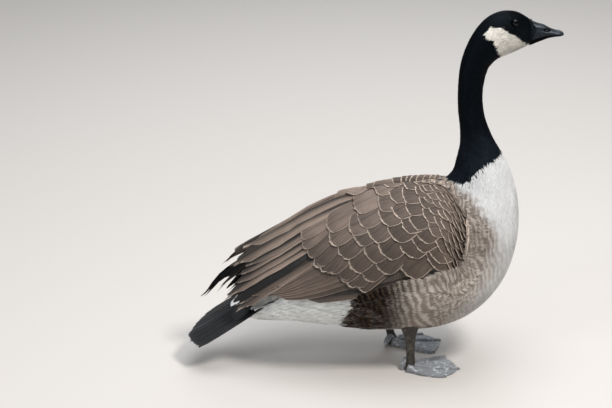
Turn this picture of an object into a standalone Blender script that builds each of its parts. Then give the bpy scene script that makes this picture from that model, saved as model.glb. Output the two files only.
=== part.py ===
"""Canada goose standing with its head up: a still, life-size model.

The bird faces +X, its right side is -Y and the floor is z = 0.
All sizes are in millimetres and are scaled to metres when a mesh is made.
"""
import math

import bmesh
import bpy
import numpy as np
from mathutils import Vector

MM = 0.001
GAP = 0.3
# Where the middle of the bird's box falls in the numbers below; every mesh is moved by it to x = 0.
BOX_MIDDLE = Vector((-2.5, 0, 0))

# A rib is one upright cut across the body:
# back x, back z, belly x, belly z, half width, where it is widest (0 back, 1 belly), fullness.
TORSO_RIBS = {
    "tail root": (-203, 131, -213, 82, 34, 0.50, 0.95),
    "rump end": (-170, 158, -176, 79, 48, 0.50, 0.92),
    "vent": (-130, 194, -134, 80, 65, 0.52, 0.90),
    "rump": (-85, 238, -88, 76, 82, 0.55, 0.90),
    "thigh": (-40, 278, -40, 70, 94, 0.56, 0.92),
    "hip": (5, 308, 5, 66, 101, 0.56, 0.94),
    "mid body": (50, 326, 50, 66, 104, 0.56, 0.96),
    "chest": (88, 334, 95, 67, 103, 0.56, 0.98),
    "shoulder": (112, 337, 135, 75, 99, 0.56, 1.00),
    "breast low": (124, 340, 174, 94, 92, 0.57, 1.00),
    "breast": (131, 345, 209, 127, 83, 0.58, 0.98),
    "breast mid": (136, 352, 236, 173, 73, 0.58, 0.94),
    "breast high": (139, 361, 250.5, 229, 61, 0.58, 0.96),
    "crop": (142, 373, 251.5, 286, 49, 0.55, 0.98),
    "neck base": (145, 386, 241, 338, 38, 0.52, 1.00),
}
LOWER_NECK_RIBS = {
    "neck low": (147.5, 402, 224, 377.5, 29.5, 0.50, 1.00),
    "neck lower": (147, 428, 203.5, 413, 24.0, 0.50, 1.00),
    "neck mid low": (143, 460, 188.5, 451, 21.5, 0.50, 1.00),
}
UPPER_NECK_RIBS = {
    "neck mid": (141.5, 492, 183.5, 487, 20.5, 0.50, 1.00),
    "neck upper": (142.5, 523, 186, 516, 20.5, 0.50, 1.00),
    "nape": (146.5, 551, 190.5, 534, 21.5, 0.50, 1.00),
}
HEAD_RIBS = {
    "hind head": (155.5, 578, 197.5, 545, 23.5, 0.50, 1.00),
    "hind crown": (168, 602, 205, 552.5, 25.5, 0.52, 0.96),
    "crown": (185, 622, 213.5, 557, 27.0, 0.53, 0.92),
    "crown top": (205, 634, 222.5, 561, 27.0, 0.54, 0.90),
    "brow": (223, 636, 232, 565, 25.5, 0.56, 0.88),
    "eye": (237.5, 630.5, 241.5, 569.5, 22.5, 0.56, 0.88),
    "lores": (250, 623.5, 250.5, 573.5, 18.0, 0.55, 0.90),
    "bill root": (261, 618.5, 259.5, 577.5, 14.0, 0.56, 0.90),
}
RIB_NAMES = [*TORSO_RIBS, *LOWER_NECK_RIBS, *UPPER_NECK_RIBS, *HEAD_RIBS]
RIBS = np.array([{**TORSO_RIBS, **LOWER_NECK_RIBS, **UPPER_NECK_RIBS, **HEAD_RIBS}[n] for n in RIB_NAMES])

# The bill, from the feathers to the tip: x, ridge z, mouth line z, chin z, half width.
BILL_STATIONS = {
    "root": (261, 617.5, 588.5, 577.5, 13.4),
    "behind nostril": (270, 613.5, 591.5, 581.5, 12.6),
    "nostril": (280, 609.5, 594.0, 585.5, 11.6),
    "before nostril": (289, 605.6, 595.5, 589.0, 10.8),
    "blade": (298.5, 602.6, 596.0, 591.0, 10.2),
    "nail start": (306, 600.9, 595.8, 591.8, 9.2),
    "nail": (311.2, 598.9, 595.4, 592.6, 6.8),
    "tip": (314.2, 596.8, 594.6, 593.6, 2.6),
}
NOSTRIL_X = 285.0
NOSTRIL_Z = 604.0
NOSTRIL_LENGTH = 12.0
NOSTRIL_HEIGHT = 4.2
NOSTRIL_DEPTH = 2.6

EYE_X = 232.0
EYE_Z = 618.5
EYE_RADIUS = 6.4
EYE_SHOWS = 2.1
LID_RADIUS = 5.6
LID_THICKNESS = 1.1

# The folded wing's outer surface, cut across at x: top ridge (|y|, z), bulge, lower edge.
WING_STATIONS = {
    158: ((48, 312), (84, 276), (93, 228)),
    120: ((32, 332), (91, 285), (107, 212)),
    80: ((25, 335), (94, 281), (111, 199)),
    35: ((20, 331), (93, 268), (112, 188)),
    -10: ((18, 320), (91, 252), (111, 174)),
    -60: ((17, 306), (85, 229), (106, 159)),
    -110: ((16, 281), (75, 204), (97, 156)),
    -150: ((15, 254), (64, 188), (85, 156)),
    -190: ((14, 230), (52, 172), (69, 141)),
    -230: ((12, 205), (38, 155), (53, 119)),
    -265: ((10, 175), (25, 138), (35, 110)),
    -300: ((7, 130), (12, 118), (17, 106)),
}
WING_INNER_Y = 1.5
WING_INNER_DROP = 7.0
WING_FRONT = 152.0
WING_FRONT_LEAN = ((-12, 22, 54, 114, 140), (5, 8, 3, 0, -6))
LEFT_WING_BACK = 15.0
WING_CORE_REAR = -204.0
CORE_SHORT = 10.0
CORE_SINK = ((-204, 110, 156), (2.2, 2.2, 5.0))
CORE_DEPTH = ((-204, -180, -120, -60, 140, 156), (5, 8, 24, 34, 34, 20))
CORE_TOP = ((-204, -150), (4.0, -12.0))

# A feather's half width along its length, from root to tip.
VANE_OUTLINE = ((0.0, 0.6), (0.5, 1.0), (0.9, 0.76), (1.0, 0.0))
VANE_ROOT_THICK = 0.8
VANE_TIP_THICK = 0.6
VANE_CROWN = 0.35

# Rows of coverts: where their tips lie along the wing, and the highest and lowest one's drop.
COVERT_ROWS = ((-120, (26, 172)), (-72, (22, 166)), (-40, (20, 166)))
COVERTS_IN_ROW = 6
COVERT_LENGTH = 62.0
COVERT_HALF_WIDTH = 18.0
COVERT_LEAN = math.radians(42)
TERTIALS = 6
SECONDARIES = 7
PRIMARIES = 5

# The tail is held a little toward the right side, and its right edge a little low.
TAIL_ROOT = (-207.0, 0.0, 114.0)
TAIL_SLOPE = math.radians(31)
TAIL_TURN = math.radians(7)
TAIL_ROLL = math.radians(11)
# The solid root of the tail: place along it, half width, half height.
TAIL_CORE = ((26, 47.0, 16.0), (46, 52.0, 10.0), (64, 53.0, 5.5))
TAIL_DROOP = 5.0
RECTRICES = 12
RECTRIX_ROOT = 24.0
RECTRIX_LENGTH = 129.0
RECTRIX_SHORT = 17.0
RECTRIX_ROOT_SPREAD = 42.0
RECTRIX_SPREAD = 44.0
RECTRIX_HALF_WIDTH = 14.0
RECTRIX_TOP = 4.5
RECTRIX_STEP = 0.6

LEG_TOP = 92.0
LEG_SIDES = 14
# Where each foot stands, how far it is turned outward and how far its leg leans back for its height.
LEG_PLACES = {"right": (70.0, -50.0), "left": (45.0, 53.0)}
FOOT_TURNS = {"right": 0.0, "left": math.radians(9)}
LEG_LEANS = {"right": 0.04, "left": 0.28}
ANKLE_Z = 24.0
# The ankle's and the leg's sections: height, half length fore and aft, half width.
ANKLE_ROWS = ((0.0, 7.5, 7.5), (3.0, 9.5, 9.0), (9.0, 9.5, 8.0), (16.0, 8.4, 6.6), (ANKLE_Z - GAP, 7.6, 5.8))
LEG_ROWS = (
    (ANKLE_Z, 7.6, 5.8),
    (34, 7.4, 5.4),
    (50, 8.4, 6.2),
    (64, 10.5, 8.5),
    (78, 15, 13),
    (LEG_TOP, 20, 17),
)
# Each toe from the ankle: ahead of it, toward the bird's middle and the height of its top.
TOES = {
    "middle": (
        (-2, 0, 11), (14, -1, 8.5), (28, -1, 9.0), (44, -0.5, 7.0),
        (58, 0, 7.6), (74, 1, 5.6), (83, 1, 5.8), (91, 1, 1.6),
    ),
    "outer": (
        (-3, -5, 10), (8, -13, 8.0), (18, -19, 8.5), (29, -23, 6.8),
        (40, -26, 7.2), (51, -28, 5.4), (58, -29, 5.6), (66, -30, 1.6),
    ),
    "inner": (
        (-2, 4, 10), (9, 13, 8.0), (20, 22, 8.5), (32, 30, 6.8),
        (44, 38, 7.2), (56, 45, 5.4), (62, 48, 5.6), (70, 52, 1.6),
    ),
}
TOE_WIDTHS = (8.0, 5.2, 5.6, 4.2, 4.8, 3.6, 3.2, 0.9)
TOE_SIDES = 8
HIND_TOE = ((-6, 3, 17), (-13, 3, 14.5), (-18, 3, 8), (-20, 2, 2.8), (-22, 2, 1.1))
HIND_TOE_RADII = (4.0, 4.4, 4.6, 3.6, 1.4)
WEB_LOW = 0.4
WEB_HIGH = 1.7
WEB_NOTCH = 0.02

COLOURS = {
    "torso": ((0.42, 0.36, 0.30), 0.8),
    "neck_lower": ((0.012, 0.012, 0.014), 0.7),
    "neck_upper": ((0.012, 0.012, 0.014), 0.7),
    "head": ((0.012, 0.012, 0.014), 0.7),
    "bill_upper": ((0.03, 0.032, 0.036), 0.4),
    "bill_lower": ((0.02, 0.022, 0.025), 0.45),
    "eye": ((0.01, 0.007, 0.005), 0.05),
    "wing": ((0.20, 0.155, 0.12), 0.75),
    "tail": ((0.02, 0.02, 0.022), 0.6),
    "leg": ((0.06, 0.055, 0.05), 0.55),
    "foot": ((0.16, 0.165, 0.17), 0.5),
}


def clear_scene():
    for item in list(bpy.data.objects):
        bpy.data.objects.remove(item, do_unlink=True)


def make_material(kind):
    colour, roughness = COLOURS[kind]
    material = bpy.data.materials.new(kind)
    material.use_nodes = True
    shader = material.node_tree.nodes["Principled BSDF"]
    shader.inputs["Base Color"].default_value = (*colour, 1.0)
    shader.inputs["Roughness"].default_value = roughness
    shader.inputs["Metallic"].default_value = 0.0
    return material


def make_object(name, points, faces, kind=None):
    """A mesh object from points in millimetres, faces turned outward."""
    mesh = bpy.data.meshes.new(name)
    mesh.from_pydata([(Vector(p) - BOX_MIDDLE) * MM for p in points], [], faces)
    form = bmesh.new()
    form.from_mesh(mesh)
    bmesh.ops.triangulate(form, faces=[f for f in form.faces if len(f.verts) > 4])
    bmesh.ops.recalc_face_normals(form, faces=form.faces)
    if form.calc_volume(signed=True) < 0:
        bmesh.ops.reverse_faces(form, faces=form.faces)
    form.to_mesh(mesh)
    form.free()
    item = bpy.data.objects.new(name, mesh)
    bpy.context.scene.collection.objects.link(item)
    if kind:
        mesh.materials.append(make_material(kind))
        mesh.shade_smooth()
        mesh.set_sharp_from_angle(angle=math.radians(40))
    return item


def apply_modifiers(item):
    """Bake an object's modifiers into its mesh."""
    graph = bpy.context.evaluated_depsgraph_get()
    graph.update()
    baked = bpy.data.meshes.new_from_object(item.evaluated_get(graph))
    old = item.data
    item.modifiers.clear()
    item.data = baked
    bpy.data.meshes.remove(old)


def drop_folded_pairs(form):
    """Split a mesh into triangles and remove any two that lie back to back on the same corners."""
    bmesh.ops.triangulate(form, faces=form.faces)
    form.verts.index_update()
    seen = {}
    for face in form.faces:
        seen.setdefault(frozenset(v.index for v in face.verts), []).append(face)
    folded = [face for faces in seen.values() if len(faces) > 1 for face in faces]
    bmesh.ops.delete(form, geom=folded, context="FACES")


def keep_largest_surface(item):
    """Drop every closed surface of a mesh but the one with the most area."""
    form = bmesh.new()
    form.from_mesh(item.data)
    drop_folded_pairs(form)
    left = set(form.faces)
    islands = []
    while left:
        stack = [left.pop()]
        island = list(stack)
        while stack:
            for edge in stack.pop().edges:
                for face in edge.link_faces:
                    if face in left:
                        left.remove(face)
                        stack.append(face)
                        island.append(face)
        islands.append(island)
    islands.sort(key=lambda faces: -sum(f.calc_area() for f in faces))
    for island in islands[1:]:
        bmesh.ops.delete(form, geom=island, context="FACES")
    loose = [v for v in form.verts if not v.link_faces]
    bmesh.ops.delete(form, geom=loose, context="VERTS")
    form.to_mesh(item.data)
    form.free()


def combine(item, others, operation, solver):
    """Union or difference of one object with a list of closed ones, which are then removed."""
    group = bpy.data.collections.new("cutters")
    bpy.context.scene.collection.children.link(group)
    for other in others:
        bpy.context.scene.collection.objects.unlink(other)
        group.objects.link(other)
    step = item.modifiers.new(operation, "BOOLEAN")
    step.operand_type = "COLLECTION"
    step.collection = group
    step.operation = operation
    step.solver = solver
    apply_modifiers(item)
    for other in others:
        bpy.data.objects.remove(other, do_unlink=True)
    bpy.data.collections.remove(group)
    keep_largest_surface(item)


def inflate(item, distance):
    """A copy of an object with its surface moved outward."""
    copy = bpy.data.objects.new(item.name + " grown", item.data.copy())
    bpy.context.scene.collection.objects.link(copy)
    form = bmesh.new()
    form.from_mesh(copy.data)
    form.normal_update()
    moved = [v.co + v.normal * v.calc_shell_factor() * distance * MM for v in form.verts]
    for vert, place in zip(form.verts, moved):
        vert.co = place
    form.to_mesh(copy.data)
    form.free()
    return copy


def spline(rows, t):
    """A curve through the middle two of four rows of numbers."""
    a, b, c, d = rows
    return 0.5 * (2 * b + (c - a) * t + (2 * a - 5 * b + 4 * c - d) * t**2 + (3 * b - a - 3 * c + d) * t**3)


def along(table, u):
    """The table's row at place u, where whole numbers are its own rows."""
    i = min(max(int(math.floor(u)), 0), len(table) - 2)
    picks = [min(max(i + k, 0), len(table) - 1) for k in (-1, 0, 1, 2)]
    return spline([table[p] for p in picks], u - i)


def rib_at(name):
    return RIB_NAMES.index(name)


def body_point(u, angle, shift=0.0):
    """A point of the body's surface: u along the ribs, angle 0 at the back and pi at the belly."""
    back_x, back_z, belly_x, belly_z, half_width, widest, fullness = along(RIBS, u)
    down = ((1 - math.cos(angle)) / 2) ** (math.log(widest) / math.log(0.5))
    side = math.copysign(abs(math.sin(angle)) ** fullness, math.sin(angle)) * half_width
    ahead = Vector((back_z - belly_z, 0, belly_x - back_x)).normalized() * shift
    x = back_x + (belly_x - back_x) * down
    z = back_z + (belly_z - back_z) * down
    return Vector((x, side, z)) + ahead


def body_segment(name, kind, first, last, steps, around, open_ends):
    """One length of neck or body between two ribs, with flat ends half a gap short."""
    start = rib_at(first)
    count = (rib_at(last) - start) * steps
    points = []
    for i in range(count + 1):
        shift = 0.0
        if i == 0 and open_ends[0]:
            shift = GAP / 2
        if i == count and open_ends[1]:
            shift = -GAP / 2
        for j in range(around):
            points.append(body_point(start + i / steps, 2 * math.pi * j / around, shift))
    return tube(name, kind, points, around)


def tube(name, kind, points, around):
    """A closed tube from rings of points, capped by a fan at each end."""
    rings = len(points) // around
    faces = []
    for i in range(rings - 1):
        for j in range(around):
            k = (j + 1) % around
            faces.append((i * around + j, i * around + k, (i + 1) * around + k, (i + 1) * around + j))
    for ring in (0, rings - 1):
        middle = sum((Vector(points[ring * around + j]) for j in range(around)), Vector()) / around
        points.append(middle)
        hub = len(points) - 1
        for j in range(around):
            faces.append((ring * around + j, ring * around + (j + 1) % around, hub))
    return make_object(name, points, faces, kind)


def ellipsoid(name, centre, radii, rings, around, kind=None):
    points = []
    for i in range(1, rings):
        polar = math.pi * i / rings
        for j in range(around):
            turn = 2 * math.pi * j / around
            points.append((
                centre[0] + radii[0] * math.sin(polar) * math.cos(turn),
                centre[1] + radii[1] * math.cos(polar),
                centre[2] + radii[2] * math.sin(polar) * math.sin(turn),
            ))
    faces = []
    for i in range(rings - 2):
        for j in range(around):
            k = (j + 1) % around
            faces.append((i * around + j, i * around + k, (i + 1) * around + k, (i + 1) * around + j))
    for ring, sign in ((0, 1), (rings - 2, -1)):
        points.append((centre[0], centre[1] + sign * radii[1], centre[2]))
        for j in range(around):
            faces.append((ring * around + j, ring * around + (j + 1) % around, len(points) - 1))
    return make_object(name, points, faces, kind)


def head_side_at(x, z):
    """How far out the head's side lies at x, z."""
    best = min(
        (
            (body_point(u / 20, math.pi * a / 60) - Vector((x, 0, z))).xz.length,
            body_point(u / 20, math.pi * a / 60).y,
        )
        for u in range(rib_at("hind head") * 20, rib_at("bill root") * 20)
        for a in range(1, 60)
    )
    return best[1]


def build_head():
    head = body_segment("head", "head", "nape", "bill root", 3, 28, (True, True))
    side = head_side_at(EYE_X, EYE_Z)
    lids = []
    sockets = []
    for sign, name in ((-1, "eye_right"), (1, "eye_left")):
        centre = (EYE_X, sign * (side + EYE_SHOWS - EYE_RADIUS), EYE_Z)
        ellipsoid(name, centre, (EYE_RADIUS,) * 3, 9, 16, "eye")
        grown = EYE_RADIUS + GAP
        sockets.append(ellipsoid("socket", centre, (grown,) * 3, 9, 16))
        lid_y = centre[1] + sign * math.sqrt(EYE_RADIUS**2 - LID_RADIUS**2) * 0.9
        lids.append(ring_tube("lid", (EYE_X, lid_y, EYE_Z), LID_RADIUS, LID_THICKNESS))
    combine(head, lids, "UNION", "EXACT")
    combine(head, sockets, "DIFFERENCE", "EXACT")
    return head


def ring_tube(name, centre, radius, thickness, around=16, section=5):
    """A ring lying in the x, z plane."""
    points = []
    for i in range(around):
        turn = 2 * math.pi * i / around
        for j in range(section):
            tilt = 2 * math.pi * j / section
            reach = radius + thickness * math.cos(tilt)
            points.append((
                centre[0] + reach * math.cos(turn) * 1.12,
                centre[1] + thickness * math.sin(tilt),
                centre[2] + reach * math.sin(turn) * 0.92,
            ))
    faces = []
    for i in range(around):
        for j in range(section):
            a, b = i * section, ((i + 1) % around) * section
            k = (j + 1) % section
            faces.append((a + j, a + k, b + k, b + j))
    return make_object(name, points, faces)


def build_bill():
    table = np.array(list(BILL_STATIONS.values()))
    steps = 2
    arc = 10
    for name, upper in (("bill_upper", True), ("bill_lower", False)):
        points = []
        for i in range((len(table) - 1) * steps + 1):
            x, ridge, mouth, chin, half = along(table, i / steps)
            if i == 0:
                x += GAP
            edge = mouth + (GAP / 2 if upper else -GAP / 2)
            height = (ridge - edge) if upper else (chin - edge)
            half = half if upper else half * 0.88
            for j in range(arc + 1):
                turn = math.pi * j / arc
                y = half * math.copysign(abs(math.cos(turn)) ** 0.75, math.cos(turn))
                points.append(Vector((x, y, edge + height * math.sin(turn) ** 0.85)))
        bill = tube(name, name, points, arc + 1)
        if upper:
            cutters = []
            for sign in (-1, 1):
                ridge, mouth, half = [along(table, 2.5)[k] for k in (1, 2, 4)]
                side = half * math.sqrt(max(0.0, 1 - ((NOSTRIL_Z - mouth) / (ridge - mouth)) ** 2))
                place = (NOSTRIL_X, sign * (side + 0.5), NOSTRIL_Z)
                size = (NOSTRIL_LENGTH / 2, NOSTRIL_DEPTH, NOSTRIL_HEIGHT / 2)
                cutters.append(ellipsoid("nostril", place, size, 8, 14))
            combine(bill, cutters, "DIFFERENCE", "MANIFOLD")


def wing_grid():
    """The folded wing's outer surface as points at each x and distance down from the ridge."""
    places = np.array(sorted(WING_STATIONS, reverse=True), float)
    knots = np.array([np.ravel(WING_STATIONS[int(p)]) for p in places], float)
    xs = np.arange(-320.0, 161.0, 5.0)
    drops = np.arange(-30.0, 181.0, 3.0)
    grid = np.zeros((len(xs), len(drops), 3))
    for i, x in enumerate(xs):
        u = float(np.interp(-x, -places, np.arange(len(places))))
        ridge_y, ridge_z, bulge_y, bulge_z, edge_y, edge_z = along(knots, u)
        inner = np.array([WING_INNER_Y, ridge_z - WING_INNER_DROP])
        rows = np.array([inner, (ridge_y, ridge_z), (bulge_y, bulge_z), (edge_y, edge_z)])
        line = np.array([along(rows, k / 20) for k in range(61)])
        span = np.concatenate([[0], np.cumsum(np.linalg.norm(np.diff(line, axis=0), axis=1))])
        span -= span[20]
        for j, drop in enumerate(drops):
            if drop <= span[-1]:
                grid[i, j, 1] = np.interp(drop, span, line[:, 0])
                grid[i, j, 2] = np.interp(drop, span, line[:, 1])
            else:
                last = (line[-1] - line[-3]) / np.linalg.norm(line[-1] - line[-3])
                grid[i, j, 1:] = line[-1] + last * (drop - span[-1])
            grid[i, j, 0] = x
    return xs, drops, grid


XS, DROPS, WING_GRID = wing_grid()


def wing_place(x, drop):
    """The point of the wing's surface at x and a distance down from its top ridge."""
    a = min(max((x - XS[0]) / (XS[1] - XS[0]), 0), len(XS) - 1.001)
    b = min(max((drop - DROPS[0]) / (DROPS[1] - DROPS[0]), 0), len(DROPS) - 1.001)
    i, j = int(a), int(b)
    s, t = a - i, b - j
    near = WING_GRID[i, j] * (1 - t) + WING_GRID[i, j + 1] * t
    far = WING_GRID[i + 1, j] * (1 - t) + WING_GRID[i + 1, j + 1] * t
    return Vector(near * (1 - s) + far * s)


def wing_normal(x, drop):
    step = 4.0
    ahead = wing_place(x + step, drop) - wing_place(x - step, drop)
    down = wing_place(x, drop + step) - wing_place(x, drop - step)
    return ahead.cross(down).normalized()


def wing_span(x):
    """How far down from the ridge the lower edge lies at x."""
    places = np.array(sorted(WING_STATIONS), float)
    reach = []
    for p in places:
        ridge, bulge, edge = (np.array(v, float) for v in WING_STATIONS[int(p)])
        reach.append(np.linalg.norm(bulge - ridge) * 1.04 + np.linalg.norm(edge - bulge) * 1.02)
    return float(np.interp(x, places, reach))


def vane(place, root, tip, half_width, lifts, tilt=0.0, bow=0.0):
    """A thin feather blade laid on a surface, where place(a, b, lift) gives a point of it."""
    run = Vector((tip[0] - root[0], tip[1] - root[1]))
    across = Vector((-run.y, run.x)).normalized()
    if across.y < 0:
        across.negate()
    top, bottom = [], []
    for part, width in VANE_OUTLINE:
        thick = VANE_ROOT_THICK + (VANE_TIP_THICK - VANE_ROOT_THICK) * part
        sides = (-1, 0, 1) if width > 0 else (0,)
        for side in sides:
            out = half_width * width * side + bow * math.sin(math.pi * part)
            a, b = Vector(root) + run * part + across * out
            lift = lifts[0] + (lifts[1] - lifts[0]) * part
            lift += VANE_CROWN * (1 - abs(side)) + tilt * side * min(1.0, part * 2.5)
            top.append(place(a, b, lift))
            bottom.append(place(a, b, lift - thick))
    count = len(top)
    rows = (count - 1) // 3
    faces = []
    for i in range(rows - 1):
        for j in (0, 1):
            k = i * 3 + j
            faces += [(k, k + 1, k + 4), (k, k + 4, k + 3)]
    last = (rows - 1) * 3
    faces += [(last, last + 1, count - 1), (last + 1, last + 2, count - 1)]
    under = [tuple(v + count for v in reversed(face)) for face in faces]
    rim = [3 * i for i in range(rows)] + [count - 1] + [3 * i + 2 for i in reversed(range(rows))] + [1]
    walls = []
    for k, here in enumerate(rim):
        there = rim[(k + 1) % len(rim)]
        walls += [(here, there, there + count), (here, there + count, here + count)]
    return make_object("vane", top + bottom, faces + under + walls)


def wing_feathers(side_name):
    """Every large feather of one folded wing: root, tip, half width, lifts, tilt."""
    back = LEFT_WING_BACK if side_name == "left" else 0.0
    feathers = []

    def add(root, tip, half_width, lifts, tilt, bow=0.0):
        feathers.append(((root[0] - back, root[1]), (tip[0] - back, tip[1]), half_width, lifts, tilt, bow))

    for row, (tip_x, drops) in enumerate(COVERT_ROWS):
        for k in range(COVERTS_IN_ROW):
            drop = drops[0] + (drops[1] - drops[0]) * k / (COVERTS_IN_ROW - 1)
            lean = COVERT_LEAN * min(max((drop - 50) / 90, 0), 1)
            x = tip_x + 0.0068 * max(drop - 62, 0) ** 2
            length = COVERT_LENGTH * (1.15 if row == 0 else 1.0)
            root = (x + length * math.cos(lean), drop - length * math.sin(lean))
            add(root, (x, drop), COVERT_HALF_WIDTH, (-3.4, 1.5), 0.9)
    for k in range(TERTIALS):
        t = k / (TERTIALS - 1)
        root = (-32 - 28 * t, 2 + 60 * t)
        tip = (-246 + 16 * t, 22 + 54 * t)
        add(root, tip, 14.0, (-3.6, 1.8 - 2.4 * t), 0.9, 3.0)
    for k in range(SECONDARIES):
        t = k / (SECONDARIES - 1)
        root = (-84 + 92 * t, 88 + 70 * t)
        tip = (-214 + 128 * t**1.2, 92 + 66 * t**1.5)
        add(root, tip, 12.0, (-3.8, -1.6), 0.8, 3.0)
    for k in range(PRIMARIES):
        t = k / (PRIMARIES - 1)
        if side_name == "left":
            tip = (-284 + 34 * t, 20 + 34 * t)
        else:
            tip = (-254 + 26 * t, 58 + 26 * t)
        add((-130, 52 + 34 * t), tip, 9.0, (-5.5 - t, -3.2 - 1.6 * t), 0.7)
    return feathers


def build_wing(side_name, torso_grown):
    side = 1 if side_name == "left" else -1
    back = LEFT_WING_BACK if side > 0 else 0.0
    columns = 14
    rows = 8

    def place(x, drop, lift):
        p = wing_place(x, drop) + wing_normal(x, drop) * lift
        return Vector((p.x, side * max(p.y, WING_INNER_Y / 2), p.z))

    rings = []
    for i in range(columns + 1):
        part = i / columns
        x = (WING_FRONT - back) * (1 - part) + WING_CORE_REAR * part
        reach = wing_span(x) - CORE_SHORT
        depth = float(np.interp(x, *CORE_DEPTH))
        sink = float(np.interp(x, *CORE_SINK))
        top = float(np.interp(x, *CORE_TOP))
        drops = [top + (reach - top) * j / rows for j in range(rows + 1)]
        fronts = [x + float(np.interp(d, *WING_FRONT_LEAN)) * (1 - part) for d in drops]
        outer = [place(f, d, -sink) for f, d in zip(fronts, drops)]
        slims = [0.45 if j in (0, rows) else 1.0 for j in range(rows + 1)]
        inner = [place(f, d, -sink - depth * slim) for f, d, slim in zip(fronts, drops, slims)]
        rings += outer + inner[::-1]
    name = "wing_" + side_name
    wing = tube(name, "wing", rings, 2 * (rows + 1))
    vanes = [vane(place, *feather) for feather in wing_feathers(side_name)]
    combine(wing, vanes, "UNION", "MANIFOLD")
    combine(wing, [torso_grown], "DIFFERENCE", "MANIFOLD")
    return wing


def tail_place(back, across, up):
    """A point given along the tail, across it to the left and above its middle."""
    side = across * math.cos(TAIL_ROLL) - up * math.sin(TAIL_ROLL)
    rise = up * math.cos(TAIL_ROLL) + across * math.sin(TAIL_ROLL)
    level = back * math.cos(TAIL_SLOPE) + rise * math.sin(TAIL_SLOPE)
    x = TAIL_ROOT[0] - level * math.cos(TAIL_TURN) + side * math.sin(TAIL_TURN)
    y = TAIL_ROOT[1] - level * math.sin(TAIL_TURN) + side * math.cos(TAIL_TURN)
    z = TAIL_ROOT[2] - back * math.sin(TAIL_SLOPE) + rise * math.cos(TAIL_SLOPE)
    return Vector((x, y, z))


def build_tail():
    around = 20
    points = []
    root = rib_at("tail root")
    for j in range(around):
        points.append(body_point(root, 2 * math.pi * j / around, -GAP / 2).lerp(Vector(TAIL_ROOT), 0.04))
    for back, half_width, half_height in TAIL_CORE:
        for j in range(around):
            turn = 2 * math.pi * j / around
            across = math.sin(turn) * half_width
            droop = TAIL_DROOP * abs(across / half_width)
            points.append(tail_place(back, across, math.cos(turn) * half_height - droop))
    tail = tube("tail", "tail", points, around)
    vanes = []
    for i in range(RECTRICES):
        a = (i - (RECTRICES - 1) / 2) / ((RECTRICES - 1) / 2)
        pair = abs(i - (RECTRICES - 1) / 2) - 0.5
        layer = 2 * pair + (1 if a > 0 else 0)
        lift = RECTRIX_TOP - RECTRIX_STEP * layer
        root = (RECTRIX_ROOT, a * RECTRIX_ROOT_SPREAD)
        tip = (RECTRIX_LENGTH - RECTRIX_SHORT * a * a, a * RECTRIX_SPREAD)
        vanes.append(vane(tail_place, root, tip, RECTRIX_HALF_WIDTH, (lift, lift)))
    combine(tail, vanes, "UNION", "MANIFOLD")
    return tail


def leg_rings(side_name, rows):
    x, y = LEG_PLACES[side_name]
    points = []
    for z, fore, across in rows:
        middle = x - LEG_LEANS[side_name] * z
        for j in range(LEG_SIDES):
            turn = 2 * math.pi * j / LEG_SIDES
            points.append(Vector((middle + fore * math.cos(turn), y + across * math.sin(turn), z)))
    return points


def build_leg(name, side_name, torso_grown):
    leg = tube(name, "leg", leg_rings(side_name, LEG_ROWS), LEG_SIDES)
    combine(leg, [torso_grown], "DIFFERENCE", "MANIFOLD")
    return leg


def toe(name, path, widths, around=TOE_SIDES):
    """A tapering toe: its path gives x, y and the height of its top, its sole is flat on the floor."""
    points = []
    for i, place in enumerate(path):
        ahead = Vector(path[min(i + 1, len(path) - 1)]) - Vector(path[max(i - 1, 0)])
        ahead.z = 0
        ahead.normalize()
        across = Vector((-ahead.y, ahead.x, 0))
        for j in range(around):
            turn = 2 * math.pi * (j + 0.5) / around
            rise = (math.cos(turn) + 0.5) / (math.cos(math.pi / around) + 0.5)
            flat = Vector((place[0], place[1], 0)) + across * (widths[i] * math.sin(turn))
            points.append(Vector((flat.x, flat.y, place[2] * max(rise, 0.0))))
    return tube(name, None, points, around)


def hind_toe(path, radii, around=8):
    """The small toe behind the ankle, bent down so that its tip rests on the floor."""
    points = []
    for i, place in enumerate(path):
        for j in range(around):
            turn = 2 * math.pi * j / around
            across = radii[i] * math.sin(turn)
            points.append(Vector((
                place[0] - radii[i] * 0.6 * math.cos(turn),
                place[1] + across,
                max(place[2] + radii[i] * 0.8 * math.cos(turn), 0.0),
            )))
    return tube("hind toe", None, points, around)


def web(edge, other, notch):
    """A thin plate of skin from one toe to the next, hollowed a little between their tips."""
    bay = (edge[-1] + other[-1]) / 2
    bay = bay.lerp((edge[0] + other[0]) / 2, notch)
    outline = edge + [bay] + other[::-1]
    count = len(outline)
    points = [Vector((p.x, p.y, z)) for z in (WEB_LOW, WEB_HIGH) for p in outline]
    faces = [tuple(range(count)), tuple(range(2 * count - 1, count - 1, -1))]
    for k in range(count):
        m = (k + 1) % count
        faces.append((k, m, count + m, count + k))
    return make_object("web", points, faces)


def build_foot(name, side_name):
    x, y = LEG_PLACES[side_name]
    inward = 1 if y < 0 else -1
    turned = FOOT_TURNS[side_name]

    def place(ahead, in_by, z):
        fore = ahead * math.cos(turned) + in_by * math.sin(turned)
        aside = in_by * math.cos(turned) - ahead * math.sin(turned)
        return Vector((x + fore, y + inward * aside, z))

    pieces = []
    lines = {}
    for kind, path in TOES.items():
        lines[kind] = [place(*p) for p in path]
        pieces.append(toe(kind, lines[kind], TOE_WIDTHS))
    pieces.append(hind_toe([place(*p) for p in HIND_TOE], HIND_TOE_RADII))
    for second in ("outer", "inner"):
        pieces.append(web(lines["middle"][:-1], lines[second][:-1], WEB_NOTCH))
    foot = tube(name, "foot", leg_rings(side_name, ANKLE_ROWS), LEG_SIDES)
    combine(foot, pieces, "UNION", "MANIFOLD")
    return foot


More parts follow.
